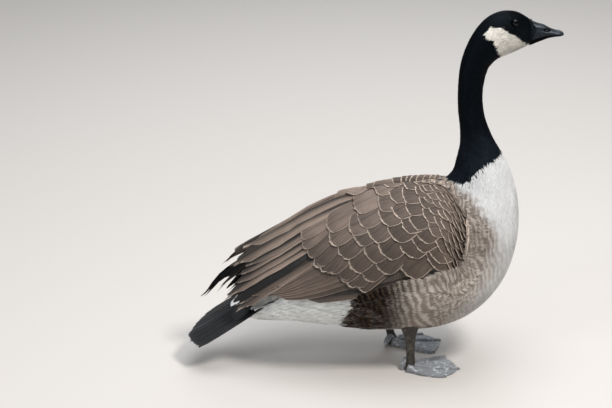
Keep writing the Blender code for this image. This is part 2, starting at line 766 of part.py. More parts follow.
def main():
    clear_scene()
    torso = body_segment("torso", "torso", "tail root", "neck base", 2, 30, (True, True))
    body_segment("neck_lower", "neck_lower", "neck base", "neck mid low", 3, 22, (True, True))
    body_segment("neck_upper", "neck_upper", "neck mid low", "nape", 3, 22, (True, True))
    build_head()
    build_bill()
    for side_name in LEG_PLACES:
        build_wing(side_name, inflate(torso, GAP + 0.05))
    build_tail()
    for side_name in LEG_PLACES:
        build_leg("leg_" + side_name, side_name, inflate(torso, GAP + 0.05))
        build_foot("foot_" + side_name, side_name)


main()
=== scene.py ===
import math

import bpy
import numpy as np
from mathutils.kdtree import KDTree
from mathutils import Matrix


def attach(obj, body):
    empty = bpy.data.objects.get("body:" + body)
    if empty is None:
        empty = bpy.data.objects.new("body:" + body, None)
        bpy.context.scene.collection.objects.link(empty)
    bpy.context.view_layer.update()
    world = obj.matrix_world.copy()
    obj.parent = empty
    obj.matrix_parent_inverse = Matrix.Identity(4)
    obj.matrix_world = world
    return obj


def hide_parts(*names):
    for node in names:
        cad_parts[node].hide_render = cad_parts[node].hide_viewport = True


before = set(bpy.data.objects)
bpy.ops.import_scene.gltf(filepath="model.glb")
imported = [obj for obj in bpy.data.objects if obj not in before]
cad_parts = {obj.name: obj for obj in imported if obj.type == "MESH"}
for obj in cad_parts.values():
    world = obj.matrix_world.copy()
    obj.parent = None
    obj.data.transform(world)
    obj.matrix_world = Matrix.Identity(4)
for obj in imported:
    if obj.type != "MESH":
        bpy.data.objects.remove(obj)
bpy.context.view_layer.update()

# The studio: a long lens at the height of a standing person, a plain pale floor
# and soft lamps, the strongest one high in front of the bird.
CAMERA_PLACE = (-0.109924, -3.268408, 1.612)
CAMERA_TILT = math.radians(68)
FOCAL_PIXELS = 2060.0
PICTURE_PIXELS = 612.0
SENSOR_WIDTH = 36.0
camera = bpy.data.objects.new("long_lens", bpy.data.cameras.new("long_lens"))
camera.location = CAMERA_PLACE
camera.rotation_euler = (CAMERA_TILT, 0, 0)
camera.data.sensor_width = SENSOR_WIDTH
camera.data.lens = FOCAL_PIXELS / PICTURE_PIXELS * SENSOR_WIDTH
camera.data.clip_start = 0.05
bpy.context.scene.collection.objects.link(camera)
bpy.context.scene.camera = camera
bpy.context.scene.view_settings.view_transform = "Standard"


def soft_lamp(name, place, target, size, power, colour):
    """A round lamp with a wide soft face, turned toward its target."""
    lamp = bpy.data.lights.new(name, "AREA")
    lamp.shape = "DISK"
    lamp.size = size
    lamp.energy = power
    lamp.color = colour
    stand = bpy.data.objects.new(name, lamp)
    stand.location = place
    aim = np.array(target, float) - np.array(place, float)
    flat = math.hypot(aim[0], aim[1])
    stand.rotation_euler = (math.atan2(flat, -aim[2]), 0, math.atan2(-aim[0], aim[1]))
    bpy.context.scene.collection.objects.link(stand)


soft_lamp("key_lamp", (1.2, -1.2, 2.7), (0, 0, 0.3), 0.7, 74, (1.0, 0.97, 0.93))
soft_lamp("top_lamp", (0.0, 0.1, 3.0), (0, 0, 0.3), 2.4, 58, (0.94, 0.97, 1.0))
soft_lamp("fill_lamp", (-1.9, -1.6, 1.3), (0, 0, 0.3), 0.8, 15, (0.95, 0.97, 1.0))
soft_lamp("back_lamp", (0.2, 1.9, 1.9), (0, 0, 0.35), 1.4, 16, (0.90, 0.95, 1.0))
sky = bpy.data.worlds.new("studio_air")
sky.use_nodes = True
sky.node_tree.nodes["Background"].inputs["Color"].default_value = (0.92, 0.95, 1.0, 1)
sky.node_tree.nodes["Background"].inputs["Strength"].default_value = 0.30
bpy.context.scene.world = sky

FLOOR_HALF = 9.0
pale_floor = bpy.data.materials.new("pale_floor")
pale_floor.use_nodes = True
paint = pale_floor.node_tree.nodes["Principled BSDF"]
paint.inputs["Base Color"].default_value = (0.56, 0.53, 0.50, 1)
paint.inputs["Roughness"].default_value = 0.9
floor_mesh = bpy.data.meshes.new("floor")
floor_corners = [(x * FLOOR_HALF, y * FLOOR_HALF, 0) for x, y in ((-1, -1), (1, -1), (1, 1), (-1, 1))]
floor_mesh.from_pydata(floor_corners, [], [(0, 1, 2, 3)])
floor_mesh.materials.append(pale_floor)
floor = bpy.data.objects.new("floor", floor_mesh)
bpy.context.scene.collection.objects.link(floor)

# The skin: one piece from the tail root to the bill, made by laying ribs along the bird
# and stretching a surface over them. It lies under the plumage and wears the same markings.

# Each rib, in millimetres: the back's x and z, the belly's x and z, half width, how far down it
# is widest and how full it is.
BODY_RIBS = np.array([
    (-203, 131, -213, 82, 34, 0.50, 0.95), (-170, 158, -176, 79, 48, 0.50, 0.92),
    (-130, 194, -134, 80, 65, 0.52, 0.90), (-85, 238, -88, 76, 82, 0.55, 0.90),
    (-40, 278, -40, 70, 94, 0.56, 0.92), (5, 308, 5, 66, 101, 0.56, 0.94),
    (50, 326, 50, 66, 104, 0.56, 0.96), (88, 334, 95, 67, 103, 0.56, 0.98),
    (112, 337, 135, 75, 99, 0.56, 1.0), (124, 340, 174, 94, 92, 0.57, 1.0),
    (131, 345, 209, 127, 83, 0.58, 0.98), (136, 352, 236, 173, 73, 0.58, 0.94),
    (139, 361, 250.5, 229, 61, 0.58, 0.96), (142, 373, 251.5, 286, 49, 0.55, 0.98),
    (145, 386, 241, 338, 38, 0.52, 1.0), (147.5, 402, 224, 377.5, 29.5, 0.5, 1.0),
    (147, 428, 203.5, 413, 24, 0.5, 1.0), (143, 460, 188.5, 451, 21.5, 0.5, 1.0),
    (141.5, 492, 183.5, 487, 20.5, 0.5, 1.0), (142.5, 523, 186, 516, 20.5, 0.5, 1.0),
    (146.5, 551, 190.5, 534, 21.5, 0.5, 1.0), (155.5, 578, 197.5, 545, 23.5, 0.5, 1.0),
    (168, 602, 205, 552.5, 25.5, 0.52, 0.96), (185, 622, 213.5, 557, 27, 0.53, 0.92),
    (205, 633, 222.5, 561, 27, 0.54, 0.90), (223, 635.6, 232, 565, 25.5, 0.56, 0.88),
    (237.5, 632.8, 241.5, 569.5, 22.5, 0.56, 0.88), (250, 626, 250.5, 573.5, 18, 0.55, 0.90),
    (261, 619, 259.5, 577.5, 14, 0.56, 0.90),
])
HEAD_START = 20
BILL_ROOT = 28
# How deep the skin lies under the outer line of the feathers, at these ribs.
PLUMAGE_DEPTH = ((0, 4, 13, 15, 20, 23, 27, 28), (4.0, 4.5, 4.0, 2.8, 2.4, 1.7, 1.2, 1.0))
EYE = np.array((232.0, 0.0, 618.5))
EYE_RADIUS = 6.4
EYE_SHOWS = 2.1


def along(table, u):
    """A smooth line through the rows of a table, read at places u; whole numbers are the rows."""
    u = np.asarray(u, float)
    last = len(table) - 1
    row = np.clip(np.floor(u).astype(int), 0, last - 1)
    t = (u - row)[..., None]
    a, b, c, d = (table[np.clip(row + k, 0, last)] for k in (-1, 0, 1, 2))
    return 0.5 * (
        2 * b + (c - a) * t + (2 * a - 5 * b + 4 * c - d) * t**2 + (3 * b - a - 3 * c + d) * t**3
    )


def body_at(u, angle):
    """The plumage's outer surface: u counts ribs from the tail, angle 0 is the back and pi the belly."""
    back_x, back_z, belly_x, belly_z, half, widest, full = np.moveaxis(along(BODY_RIBS, u), -1, 0)
    down = ((1 - np.cos(angle)) / 2) ** (np.log(widest) / np.log(0.5))
    side = np.sign(np.sin(angle)) * np.abs(np.sin(angle)) ** full * half
    return np.stack([back_x + (belly_x - back_x) * down, side, back_z + (belly_z - back_z) * down], -1)


def unit(vectors):
    """The same directions with a length of 1."""
    return vectors / np.maximum(np.linalg.norm(vectors, axis=-1, keepdims=True), 1e-9)


def body_frame(u, angle):
    """Place, direction the feathers lie in, direction across them and outward direction."""
    place = body_at(u, angle)
    lie = unit(body_at(u - 0.04, angle) - body_at(u + 0.04, angle))
    round_it = body_at(u, angle + 0.01) - body_at(u, angle - 0.01)
    out = unit(np.cross(round_it, lie))
    out *= np.sign(np.sum(out * (place - body_at(u, angle + np.pi)), -1, keepdims=True) + 1e-12)
    return place, lie, unit(np.cross(out, lie)), out


def bend_at(u, angle, place, lie, out):
    """How fast the surface falls away behind each place."""
    ahead, _, _, ahead_out = body_frame(u - 0.15, angle)
    run = np.linalg.norm(ahead - place, axis=1)
    return np.clip(np.sum((unit(ahead_out) - out) * lie, 1) / np.maximum(run, 1), -0.03, 0.05)


def full_turn(count):
    """Angles spaced evenly round a circle."""
    return np.arange(count) / count * 2 * np.pi


def smooth(low, high, value):
    """0 below low, 1 above high and a soft step between."""
    t = np.clip((value - low) / (high - low), 0, 1)
    return t * t * (3 - 2 * t)


def ripple(points, size, seed):
    """Random numbers of about -1 to 1 that change smoothly over a distance of about size."""
    dice = np.random.default_rng(seed)
    total = np.zeros(points.shape[:-1])
    for _ in range(6):
        wave = unit(dice.normal(size=3)) * 2 * np.pi / size * dice.uniform(0.6, 1.6)
        total += np.sin(points @ wave + dice.uniform(0, 2 * np.pi))
    return total / 3


def blend(first, second, share):
    """Colours between two others: share 0 is the first and 1 the second."""
    share = np.asarray(share)[..., None]
    return np.asarray(first) * (1 - share) + np.asarray(second) * share


def inside(outline, a, b):
    """Whether points a, b lie inside a closed outline."""
    hits = np.zeros(np.shape(a), bool)
    for (p, q), (r, s) in zip(outline, outline[1:] + outline[:1]):
        crosses = ((q > b) != (s > b)) & (a < (r - p) * (b - q) / (s - q + 1e-12) + p)
        hits ^= crosses
    return hits


# The white cheek patch seen from the side (x, z); it meets the other one under the chin.
CHEEK = [
    (184, 604), (194, 614), (209, 615), (214, 613), (219, 609), (225, 604.5), (233, 600), (241, 594),
    (248, 587.5), (257, 579), (256, 558), (219, 548), (213, 565), (209, 573), (205.5, 581), (202, 589),
    (198, 594.5), (193, 595.5), (187, 597.5),
]
# Where the black of the neck ends (z) for each x, and where the white breast begins (x) for each z.
BLACK_ENDS = ((100, 123, 140, 152, 158, 164, 170, 177, 187, 199, 209, 218, 245),
              (338, 339, 341, 341, 347, 354, 361, 368, 376, 380, 385, 388, 392))
WHITE_BEGINS = ((60, 120, 150, 180, 199, 225, 248, 267, 285, 303, 323, 333, 338, 345),
                (150, 172, 192, 210, 217, 219, 213, 206, 195, 182, 165, 146, 126, 60))
# The dark line from the wing's end to the tail, its height at each x and its half width.
TAIL_LINE = ((-218, -207, -198, -188, -173, -158, -150), (120, 116, 116, 119, 127.5, 139, 146))
TAIL_LINE_HALF = ((-200, -158), (3.4, 1.7))
# Colours of the middle and of the tip of the plumage, or one for both.
BLACK = (0.0010, 0.0012, 0.0018)
# NECK_FOOT_GREY is a bluish grey, used as painted sheen low on the neck and as the grey mottle of the lores.
NECK_FOOT_GREY = (0.0085, 0.0110, 0.0155)
CHEEK_WHITE = (0.80, 0.77, 0.70)
BREAST_WHITE = (0.66, 0.665, 0.665)
SHOULDER = ((0.130, 0.104, 0.086), (0.41, 0.36, 0.32))
FLANK = ((0.205, 0.165, 0.136), (0.66, 0.60, 0.54))
REAR_FLANK = ((0.0065, 0.0042, 0.0026), (0.052, 0.034, 0.022))
MANTLE = ((0.135, 0.104, 0.085), (0.44, 0.355, 0.29))
BELLY = ((0.50, 0.46, 0.41), (0.68, 0.64, 0.60))
VENT_WHITE = ((0.76, 0.775, 0.76), (0.88, 0.895, 0.875))
LINE_BLACK = (0.012, 0.012, 0.014)
RUMP = ((0.03, 0.028, 0.027), (0.05, 0.045, 0.04))


def markings(place, angle):
    """Colour of the middle and of the tip of the plumage that grows at each place."""
    x, z = place[..., 0], place[..., 2]
    back = np.cos(angle)
    fine = ripple(place, 9, 3)
    broad = ripple(place, 40, 4)
    low = smooth(245, 175, z)
    coat = [blend(SHOULDER[k], FLANK[k], low) for k in (0, 1)]

    def layer(middle, tip, share):
        """Lay two colours over what is there, as thickly as share says."""
        coat[:] = blend(coat[0], middle, share), blend(coat[1], tip, share)

    under_wing = smooth(85, 10, x) * smooth(250, 190, z)
    layer(*REAR_FLANK, np.maximum(under_wing, 0.8 * smooth(98, 76, z) * smooth(140, 80, x)))
    layer(*MANTLE, smooth(0.45, 0.75, back) * smooth(150, 120, x))
    spread = 14 + 30 * smooth(265, 200, z)
    white = smooth(-1, 1, (x - np.interp(z, *WHITE_BEGINS) + 5 * fine + 0.3 * (spread - 14)) / spread)
    shaded = np.array(BREAST_WHITE) * (0.95 + 0.06 * broad)[..., None]
    layer(shaded * 0.90, shaded, white)
    layer(*BELLY, smooth(0.80, 0.95, -back) * smooth(120, 60, x) * smooth(-60, 0, x))
    vent = smooth(7, -7, x + 47 - (z - 114) * 0.24 + 7 * fine) * smooth(200, 170, z)
    # The vent's white varies in soft streaks. These are partly cream stains and partly painted shade in its
    # folds.
    stain_and_fold_shade = 0.89 + 0.12 * ripple(place * (0.3, 1, 1), 14, 9) + 0.08 * ripple(place * (0.2, 1, 1), 5, 12)
    stain_and_fold_shade = stain_and_fold_shade[..., None]
    layer(np.array(VENT_WHITE[0]) * stain_and_fold_shade, np.array(VENT_WHITE[1]) * stain_and_fold_shade, vent)
    from_line = np.abs(z - np.interp(x, *TAIL_LINE)) / np.interp(x, *TAIL_LINE_HALF)
    layer(LINE_BLACK, LINE_BLACK, smooth(1.2, 0.2, from_line) * smooth(-154, -158, x))
    layer(*RUMP, smooth(170, 200, z) * smooth(-60, -90, x))
    edge = z - np.interp(x, *BLACK_ENDS)
    black = smooth(-2.5, 2.5, edge + 4.5 * fine + 4.0 * ripple(place, 17, 10))
    flecks = smooth(0.55, 0.9, ripple(place, 6, 8)) * smooth(-24, -8, edge) * smooth(205, 185, x)
    black = np.maximum(black, flecks * smooth(150, 162, x))
    # Painted sheen: low on the neck the black is blended toward a bluish grey, which stands in for the sky's
    # sheen there.
    neck_painted_sheen = 0.75 * smooth(470, 385, z) + 0.2 * ripple(place, 24, 11) * smooth(500, 440, z)
    lores = 0.5 * smooth(230, 244, x) * smooth(622, 600, z) * (0.7 + 0.5 * ripple(place, 4, 13))
    jet = blend(BLACK, NECK_FOOT_GREY, np.maximum(neck_painted_sheen, 0) + lores)
    layer(jet, jet, black)
    cheek = inside(CHEEK, x + 0.8 * ripple(place, 7, 5), z + 0.8 * ripple(place, 7, 6)).astype(float)
    cream = np.array(CHEEK_WHITE) * (0.96 + 0.08 * ripple(place, 12, 7) * smooth(0, 1, cheek))[..., None]
    layer(cream * 0.94, cream, cheek)
    return coat


# The tables are in millimetres, from a point this far behind the model's origin.
ORIGIN_SHIFT = (2.5, 0, 0)
MM = 0.001


def put_mesh(name, points, faces, material, maps=None, paints=None, sharp=math.radians(60)):
    """A piece from corners in millimetres; faces holds one or more arrays of corner numbers."""
    mesh = bpy.data.meshes.new(name)
    groups = [np.asarray(g, np.int32) for g in faces if len(g)]
    corners = np.concatenate([g.ravel() for g in groups]).astype(np.int32)
    sizes = np.concatenate([np.full(len(g), g.shape[1]) for g in groups])
    spots = (np.asarray(points, float).reshape(-1, 3) + ORIGIN_SHIFT) * MM
    mesh.vertices.add(len(spots))
    mesh.vertices.foreach_set("co", spots.astype(np.float32).ravel())
    mesh.loops.add(len(corners))
    mesh.loops.foreach_set("vertex_index", corners)
    mesh.polygons.add(len(sizes))
    mesh.polygons.foreach_set("loop_start", np.concatenate([[0], np.cumsum(sizes)[:-1]]).astype(np.int32))
    mesh.update(calc_edges=True)
    for label, values in (maps or {}).items():
        values = np.asarray(values, np.float32).reshape(-1, 2)
        if len(values) == len(spots):
            values = values[corners]
        mesh.uv_layers.new(name=label).data.foreach_set("uv", values.ravel())
    for label, values in (paints or {}).items():
        values = np.asarray(values, np.float32).reshape(-1, 3)
        colours = np.concatenate([values, np.ones((len(values), 1), np.float32)], 1)
        mesh.attributes.new(label, "FLOAT_COLOR", "POINT").data.foreach_set("color", colours.ravel())
    mesh.materials.append(material)
    mesh.shade_smooth()
    mesh.set_sharp_from_angle(angle=sharp)
    piece = bpy.data.objects.new(name, mesh)
    bpy.context.scene.collection.objects.link(piece)
    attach(piece, "root")
    return piece


def grid_faces(rings, around, closed=True):
    """Four-cornered faces between rings of corners."""
    i, j = np.meshgrid(np.arange(rings - 1), np.arange(around if closed else around - 1), indexing="ij")
    k = (j + 1) % around
    corners = [i * around + j, i * around + k, (i + 1) * around + k, (i + 1) * around + j]
    return np.stack(corners, -1).reshape(-1, 4)


def closed_tube(rings):
    """Corners and faces of a tube through rings of corners, with a middle corner closing each end."""
    count, around = rings.shape[:2]
    points = np.concatenate([rings.reshape(-1, 3), [rings[0].mean(0)], [rings[-1].mean(0)]])
    j = np.arange(around)
    k = (j + 1) % around
    first = np.stack([k, j, np.full(around, count * around)], -1)
    base = (count - 1) * around
    last = np.stack([base + j, base + k, np.full(around, count * around + 1)], -1)
    return points, [grid_faces(count, around), first, last]


def tube_map(count, around):
    """For closed_tube: the tube unrolled, one corner of the map for each corner of each face."""
    i, j = np.meshgrid(np.arange(count - 1), np.arange(around), indexing="ij")
    quads = [np.stack([j + right, i + down], -1) for right, down in ((0, 0), (1, 0), (1, 1), (0, 1))]
    quads = np.stack(quads, -2).reshape(-1, 2) / (around, count - 1.0)
    j = np.arange(around)
    ends = []
    for order, row in (((1, 0), 0.0), ((0, 1), 1.0)):
        corner = [np.stack([(j + o) / around, np.full(around, row * 0.98 + 0.01)], -1) for o in order]
        corner.append(np.stack([(j + 0.5) / around, np.full(around, row)], -1))
        ends.append(np.stack(corner, 1).reshape(-1, 2))
    return np.concatenate([quads, *ends]) * 0.98 + 0.01


class Finish:
    """A material being wired: its nodes are added one at a time and linked as they come."""

    def __init__(self, name, roughness, **extra):
        self.material = bpy.data.materials.new(name)
        self.material.use_nodes = True
        self.tree = self.material.node_tree
        self.shader = self.tree.nodes["Principled BSDF"]
        self.shader.inputs["Roughness"].default_value = roughness
        for label, value in extra.items():
            self.shader.inputs[label.replace("_", " ").title().replace("Ior", "IOR")].default_value = value

    def add(self, kind, values, **settings):
        node = self.tree.nodes.new(kind)
        for label, value in settings.items():
            setattr(node, label, value)
        for label, value in values.items():
            if isinstance(value, bpy.types.NodeSocket):
                self.tree.links.new(value, node.inputs[label])
            else:
                node.inputs[label].default_value = value
        return node

    def sum(self, operation, first, second=0.0, third=0.0):
        return self.add("ShaderNodeMath", {0: first, 1: second, 2: third}, operation=operation).outputs[0]

    def step(self, value, low, high):
        node = self.add("ShaderNodeMapRange", {0: value, 1: low, 2: high}, interpolation_type="SMOOTHSTEP")
        return node.outputs[0]

    def paint(self, label):
        return self.add("ShaderNodeAttribute", {}, attribute_name=label).outputs["Color"]

    def mix(self, first, second, share, kind="MIX"):
        node = self.add("ShaderNodeMix", {0: share, 6: first, 7: second}, data_type="RGBA", blend_type=kind)
        return node.outputs[2]

    def noise(self, scale, detail=3.0, where=None):
        if where is None:
            where = self.add("ShaderNodeTexCoord", {}).outputs["Object"]
        return self.add("ShaderNodeTexNoise", {"Vector": where, "Scale": scale, "Detail": detail}).outputs[0]

    def done(self, colour, height=None, depth=0.0002, rough=None):
        self.tree.links.new(colour, self.shader.inputs["Base Color"])
        if height is not None:
            bump = self.add("ShaderNodeBump", {"Height": height, "Distance": depth, "Strength": 0.8})
            self.tree.links.new(bump.outputs[0], self.shader.inputs["Normal"])
        if rough is not None:
            self.tree.links.new(rough, self.shader.inputs["Roughness"])
        return self.material


def skin_finish():
    skin = Finish("bird_skin", 0.7, specular_ior_level=0.12)
    grain = skin.noise(900)
    tone = skin.mix(skin.paint("tint"), (0, 0, 0, 1), skin.sum("MULTIPLY", grain, 0.35))
    return skin.done(tone, grain, 0.0003)


STEPS_PER_RIB = 8
SKIN_AROUND = 128
SOCKET_DEPTH = 6.0
skin_u = np.linspace(0, BILL_ROOT, BILL_ROOT * STEPS_PER_RIB + 1)
U, A = np.meshgrid(skin_u, full_turn(SKIN_AROUND), indexing="ij")
skin_place, _, _, skin_out = body_frame(U, A)
skin_rings = skin_place - skin_out * np.interp(U, *PLUMAGE_DEPTH)[..., None]
head_u, head_a = np.meshgrid(np.linspace(HEAD_START, BILL_ROOT, 200), np.linspace(0.05, 3.1, 200))
head_points = body_at(head_u, head_a)
nearest = np.argmin(np.hypot(head_points[..., 0] - EYE[0], head_points[..., 2] - EYE[2]))
EYE[1] = head_points[..., 1].ravel()[nearest] + EYE_SHOWS - EYE_RADIUS
reach = np.hypot((skin_rings[..., 0] - EYE[0]) / 1.12, skin_rings[..., 2] - EYE[2])
socket = smooth(8.0, 4.5, reach) * (np.abs(skin_rings[..., 1]) > 8)
skin_rings[..., 1] -= np.sign(skin_rings[..., 1]) * socket * SOCKET_DEPTH
skin_points, skin_faces = closed_tube(skin_rings)
skin_tint = np.concatenate([markings(skin_place, A)[0].reshape(-1, 3), [VENT_WHITE[0]], [BLACK]])
skin = put_mesh(
    "skin", skin_points, skin_faces, skin_finish(),
    {"OFBake": tube_map(len(skin_u), SKIN_AROUND)}, {"tint": skin_tint * 0.8},
)
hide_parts("torso", "neck_lower", "neck_upper", "head")

# The eyes: dark brown glass balls set deep in the head, with a thin black lid round each.
# The lids are moulded rings, the upper one a little heavier, that meet in front and behind.
BALL_RINGS, BALL_AROUND = 40, 64
LID_STEPS, LID_AROUND = 72, 14
IRIS_BROWN = (0.005, 0.0025, 0.0015)
PUPIL_BLACK = (0.0010, 0.0015, 0.0015)


def eye_finish():
    glass = Finish("eye_glass", 0.03, specular_ior_level=0.30, specular_tint=(0.80, 0.90, 1.0, 1))
    spread = glass.noise(1400)
    tone = glass.mix(glass.paint("tint"), (0.004, 0.002, 0.0015, 1), glass.sum("MULTIPLY", spread, 0.25))
    return glass.done(tone)


def two_tone(name, roughness, scale, dark, pale, depth, **extra):
    """A finish that goes from a dark to a pale tone with its grain, which stands up a little."""
    finish = Finish(name, roughness, **extra)
    grain = finish.noise(scale)
    return finish.done(finish.mix(dark + (1,), pale + (1,), grain), grain, depth)


eye_glass = eye_finish()
LID_DARK, LID_PALE = (0.0008, 0.0009, 0.0012), (0.0022, 0.0022, 0.0026)
lid_skin = two_tone("lid_skin", 0.8, 1800, LID_DARK, LID_PALE, 0.0003, specular_ior_level=0.02)
for side, name in ((-1, "right"), (1, "left")):
    polar = np.linspace(0.02, np.pi - 0.02, BALL_RINGS)
    polar, turn = np.meshgrid(polar, full_turn(BALL_AROUND), indexing="ij")
    ball = np.stack([
        EYE[0] + EYE_RADIUS * np.sin(polar) * np.cos(turn),
        side * EYE[1] + EYE_RADIUS * np.cos(polar) * side,
        EYE[2] + EYE_RADIUS * np.sin(polar) * np.sin(turn) * side,
    ], -1)
    pupil = smooth(0.62, 0.55, polar)
    iris = blend(IRIS_BROWN, PUPIL_BLACK, np.maximum(pupil, smooth(0.9, 1.1, polar)))
    points, faces = closed_tube(ball)
    tint = np.concatenate([iris.reshape(-1, 3), [iris[0, 0]], [iris[-1, 0]]])
    ball_map = tube_map(BALL_RINGS, BALL_AROUND)
    eye = put_mesh("eye_%s_glass" % name, points, faces, eye_glass, {"OFBake": ball_map}, {"tint": tint})
    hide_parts("eye_" + name)
    T, K = np.meshgrid(full_turn(LID_STEPS), full_turn(LID_AROUND), indexing="ij")
    upper = smooth(-0.2, 0.8, np.sin(T))
    thick = 0.75 + 0.45 * upper + 0.1 * np.sin(9 * T)
    almond = 4.7 + 0.9 * np.abs(np.cos(T)) ** 3
    ring_x = EYE[0] + (almond + thick * np.cos(K)) * np.cos(T) * 1.10
    ring_z = EYE[2] + (almond + thick * np.cos(K)) * np.sin(T) * 0.78 - 0.2
    flat = np.clip(((ring_x - EYE[0]) ** 2 + (ring_z - EYE[2]) ** 2), 0, EYE_RADIUS**2 - 1)
    ring_y = EYE[1] + np.sqrt(EYE_RADIUS**2 - flat) + thick * np.sin(K) * 0.9 - 0.1
    rings = np.stack([ring_x, side * ring_y, ring_z], -1)
    looped = grid_faces(LID_STEPS + 1, LID_AROUND) % (LID_STEPS * LID_AROUND)
    if side < 0:
        looped = looped[:, ::-1]
    flat_map = np.stack([T, K], -1).reshape(-1, 2) / 6.4
    lid = put_mesh("lid_" + name, rings, [looped], lid_skin, {"OFBake": flat_map})

# The bill: two halves of dark horn that close on each other, with a hard nail at the tip.
# A long shallow hollow on each side holds the slit of the nostril.

# Each cut across the bill: its x, the heights of ridge, mouth and chin, and its half width.
BILL_CUTS = np.array([
    (261, 618.0, 588.5, 577.5, 13.4), (270, 614.4, 591.5, 581.5, 12.6), (280, 611.6, 594.0, 585.5, 11.6),
    (289, 606.8, 595.5, 589.0, 10.8), (298.5, 602.6, 596.0, 591.0, 10.2), (306, 600.9, 595.8, 591.8, 9.2),
    (311.2, 598.9, 595.4, 592.6, 6.8), (314.2, 596.8, 594.6, 593.6, 2.6),
])
NOSTRIL = (285.5, 604.0)
# How far forward (x) the plumage reaches on the side of the bill at each height.
BILL_EDGE = ((577, 586, 592, 598, 604, 610, 616, 622), (256, 257, 261, 266.5, 268.5, 266, 261, 257))


def horn_finish(name, gloss):
    horn = Finish(name, 0.36, specular_ior_level=gloss, specular_tint=(0.75, 0.88, 1.0, 1))
    where = horn.add("ShaderNodeTexCoord", {}).outputs["Object"]
    long_way = horn.add("ShaderNodeMapping", {"Vector": where, "Scale": (0.25, 1.0, 1.0)}).outputs[0]
    streaks = horn.noise(700, 4.0, long_way)
    pits = horn.noise(2600, 2.0)
    worn = horn.sum("MULTIPLY_ADD", horn.step(streaks, 0.40, 0.80), 2.2, 0.8)
    grey = horn.add("ShaderNodeCombineXYZ", {0: worn, 1: worn, 2: worn}).outputs[0]
    base = horn.mix(horn.paint("tint"), grey, 1.0, "MULTIPLY")
    height = horn.sum("ADD", horn.sum("MULTIPLY", streaks, 0.6), horn.sum("MULTIPLY", pits, 0.4))
    rough = horn.sum("MULTIPLY_ADD", pits, 0.18, 0.30)
    return horn.done(base, height, 0.00025, rough)


# The lower half is the same horn painted in shade: it has almost no gloss, and its colour is darkened further
# down.
bill_horn = {"upper": horn_finish("bill_horn", 0.32), "lower": horn_finish("bill_horn_lower_shaded", 0.03)}
for part, node in (("upper", "bill_upper"), ("lower", "bill_lower")):
    u, turn = np.meshgrid(np.linspace(-1.2, 7, 96), np.linspace(0, np.pi, 61), indexing="ij")
    x, ridge, mouth, chin, half = np.moveaxis(along(BILL_CUTS, np.maximum(u, 0)), -1, 0)
    x = x + np.minimum(u, 0) * 7
    up = part == "upper"
    edge = mouth + (0.15 if up else -0.15)
    height = (ridge if up else chin) - edge
    half = half * (1.0 if up else 0.88)
    y = half * np.sign(np.cos(turn)) * np.abs(np.cos(turn)) ** 0.75
    z = edge + height * np.sin(turn) ** 0.85
    tint = np.zeros(x.shape + (3,)) + (0.0070, 0.0090, 0.0115)
    if up:
        hollow = np.clip(1 - ((x - 281) / 17) ** 2 - ((z - 604.5 - (281 - x) * 0.10) / 4.6) ** 2, 0, 1)
        slit = ((z - NOSTRIL[1] + (x - NOSTRIL[0]) * 0.12) / 2.9) ** 2
        slit = np.clip(1 - ((x - NOSTRIL[0]) / 6.0) ** 2 - slit, 0, 1)
        y -= np.sign(y) * (0.8 * hollow + 5.5 * slit**0.4)
        # Painted shade: the nostril's slit is painted near-black, as the dark inside the hole.
        tint = blend(tint, (0.0003, 0.0003, 0.0003), smooth(0.0, 0.08, slit))
        lip = smooth(2.2, 0.0, z - edge) * smooth(262, 268, x)
        y += np.sign(y) * 0.35 * lip
        nail = smooth(304.5, 306.5, x) * smooth(0.35, 0.6, np.sin(turn))
        z += 0.45 * nail
        tint = blend(tint, (0.018, 0.019, 0.022), nail)
    else:
        # Painted shade: the lower half's horn colour is cut to 0.12 of the upper's.
        tint *= 0.12
    covered = smooth(0.5, -3.5, x - np.interp(z, *BILL_EDGE))
    y -= np.sign(y) * np.minimum(2.6 * covered, np.abs(y))
    z -= 1.6 * covered * np.sin(turn) * (1 if up else -1)
    shell = np.stack([x, y, z], -1)
    close = np.linspace(0, 1, 14)[1:-1]
    palate = shell[:, -1:] * (1 - close[None, :, None]) + shell[:, :1] * close[None, :, None]
    arch = (1.2 if up else -1.0) * np.sin(np.pi * close)[None, :]
    palate[..., 2] += arch * smooth(314, 305, palate[..., 0])
    rings = np.concatenate([shell, palate], 1)
    if not up:
        rings = rings[:, ::-1]
        tint = tint[:, ::-1]
    points, faces = closed_tube(rings)
    rim = np.zeros((len(rings), len(close), 3)) + (0.006, 0.006, 0.006)
    coloured = np.concatenate([tint, rim] if up else [rim, tint], 1).reshape(-1, 3)
    coloured = np.concatenate([coloured, coloured[:1], coloured[-1:]])
    horn_piece = put_mesh(
        "horn_" + node, points, [f[:, ::-1] for f in faces], bill_horn[part],
        {"OFBake": tube_map(*rings.shape[:2]).reshape(-1, 2)}, {"tint": coloured},
    )
    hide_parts(node)

# The head and neck: short black plumage like velvet with a cream cheek patch that meets
# under the chin. Each plume is a thin closed spindle rooted in the skin and laid back along it.
ROW_AROUND = 361


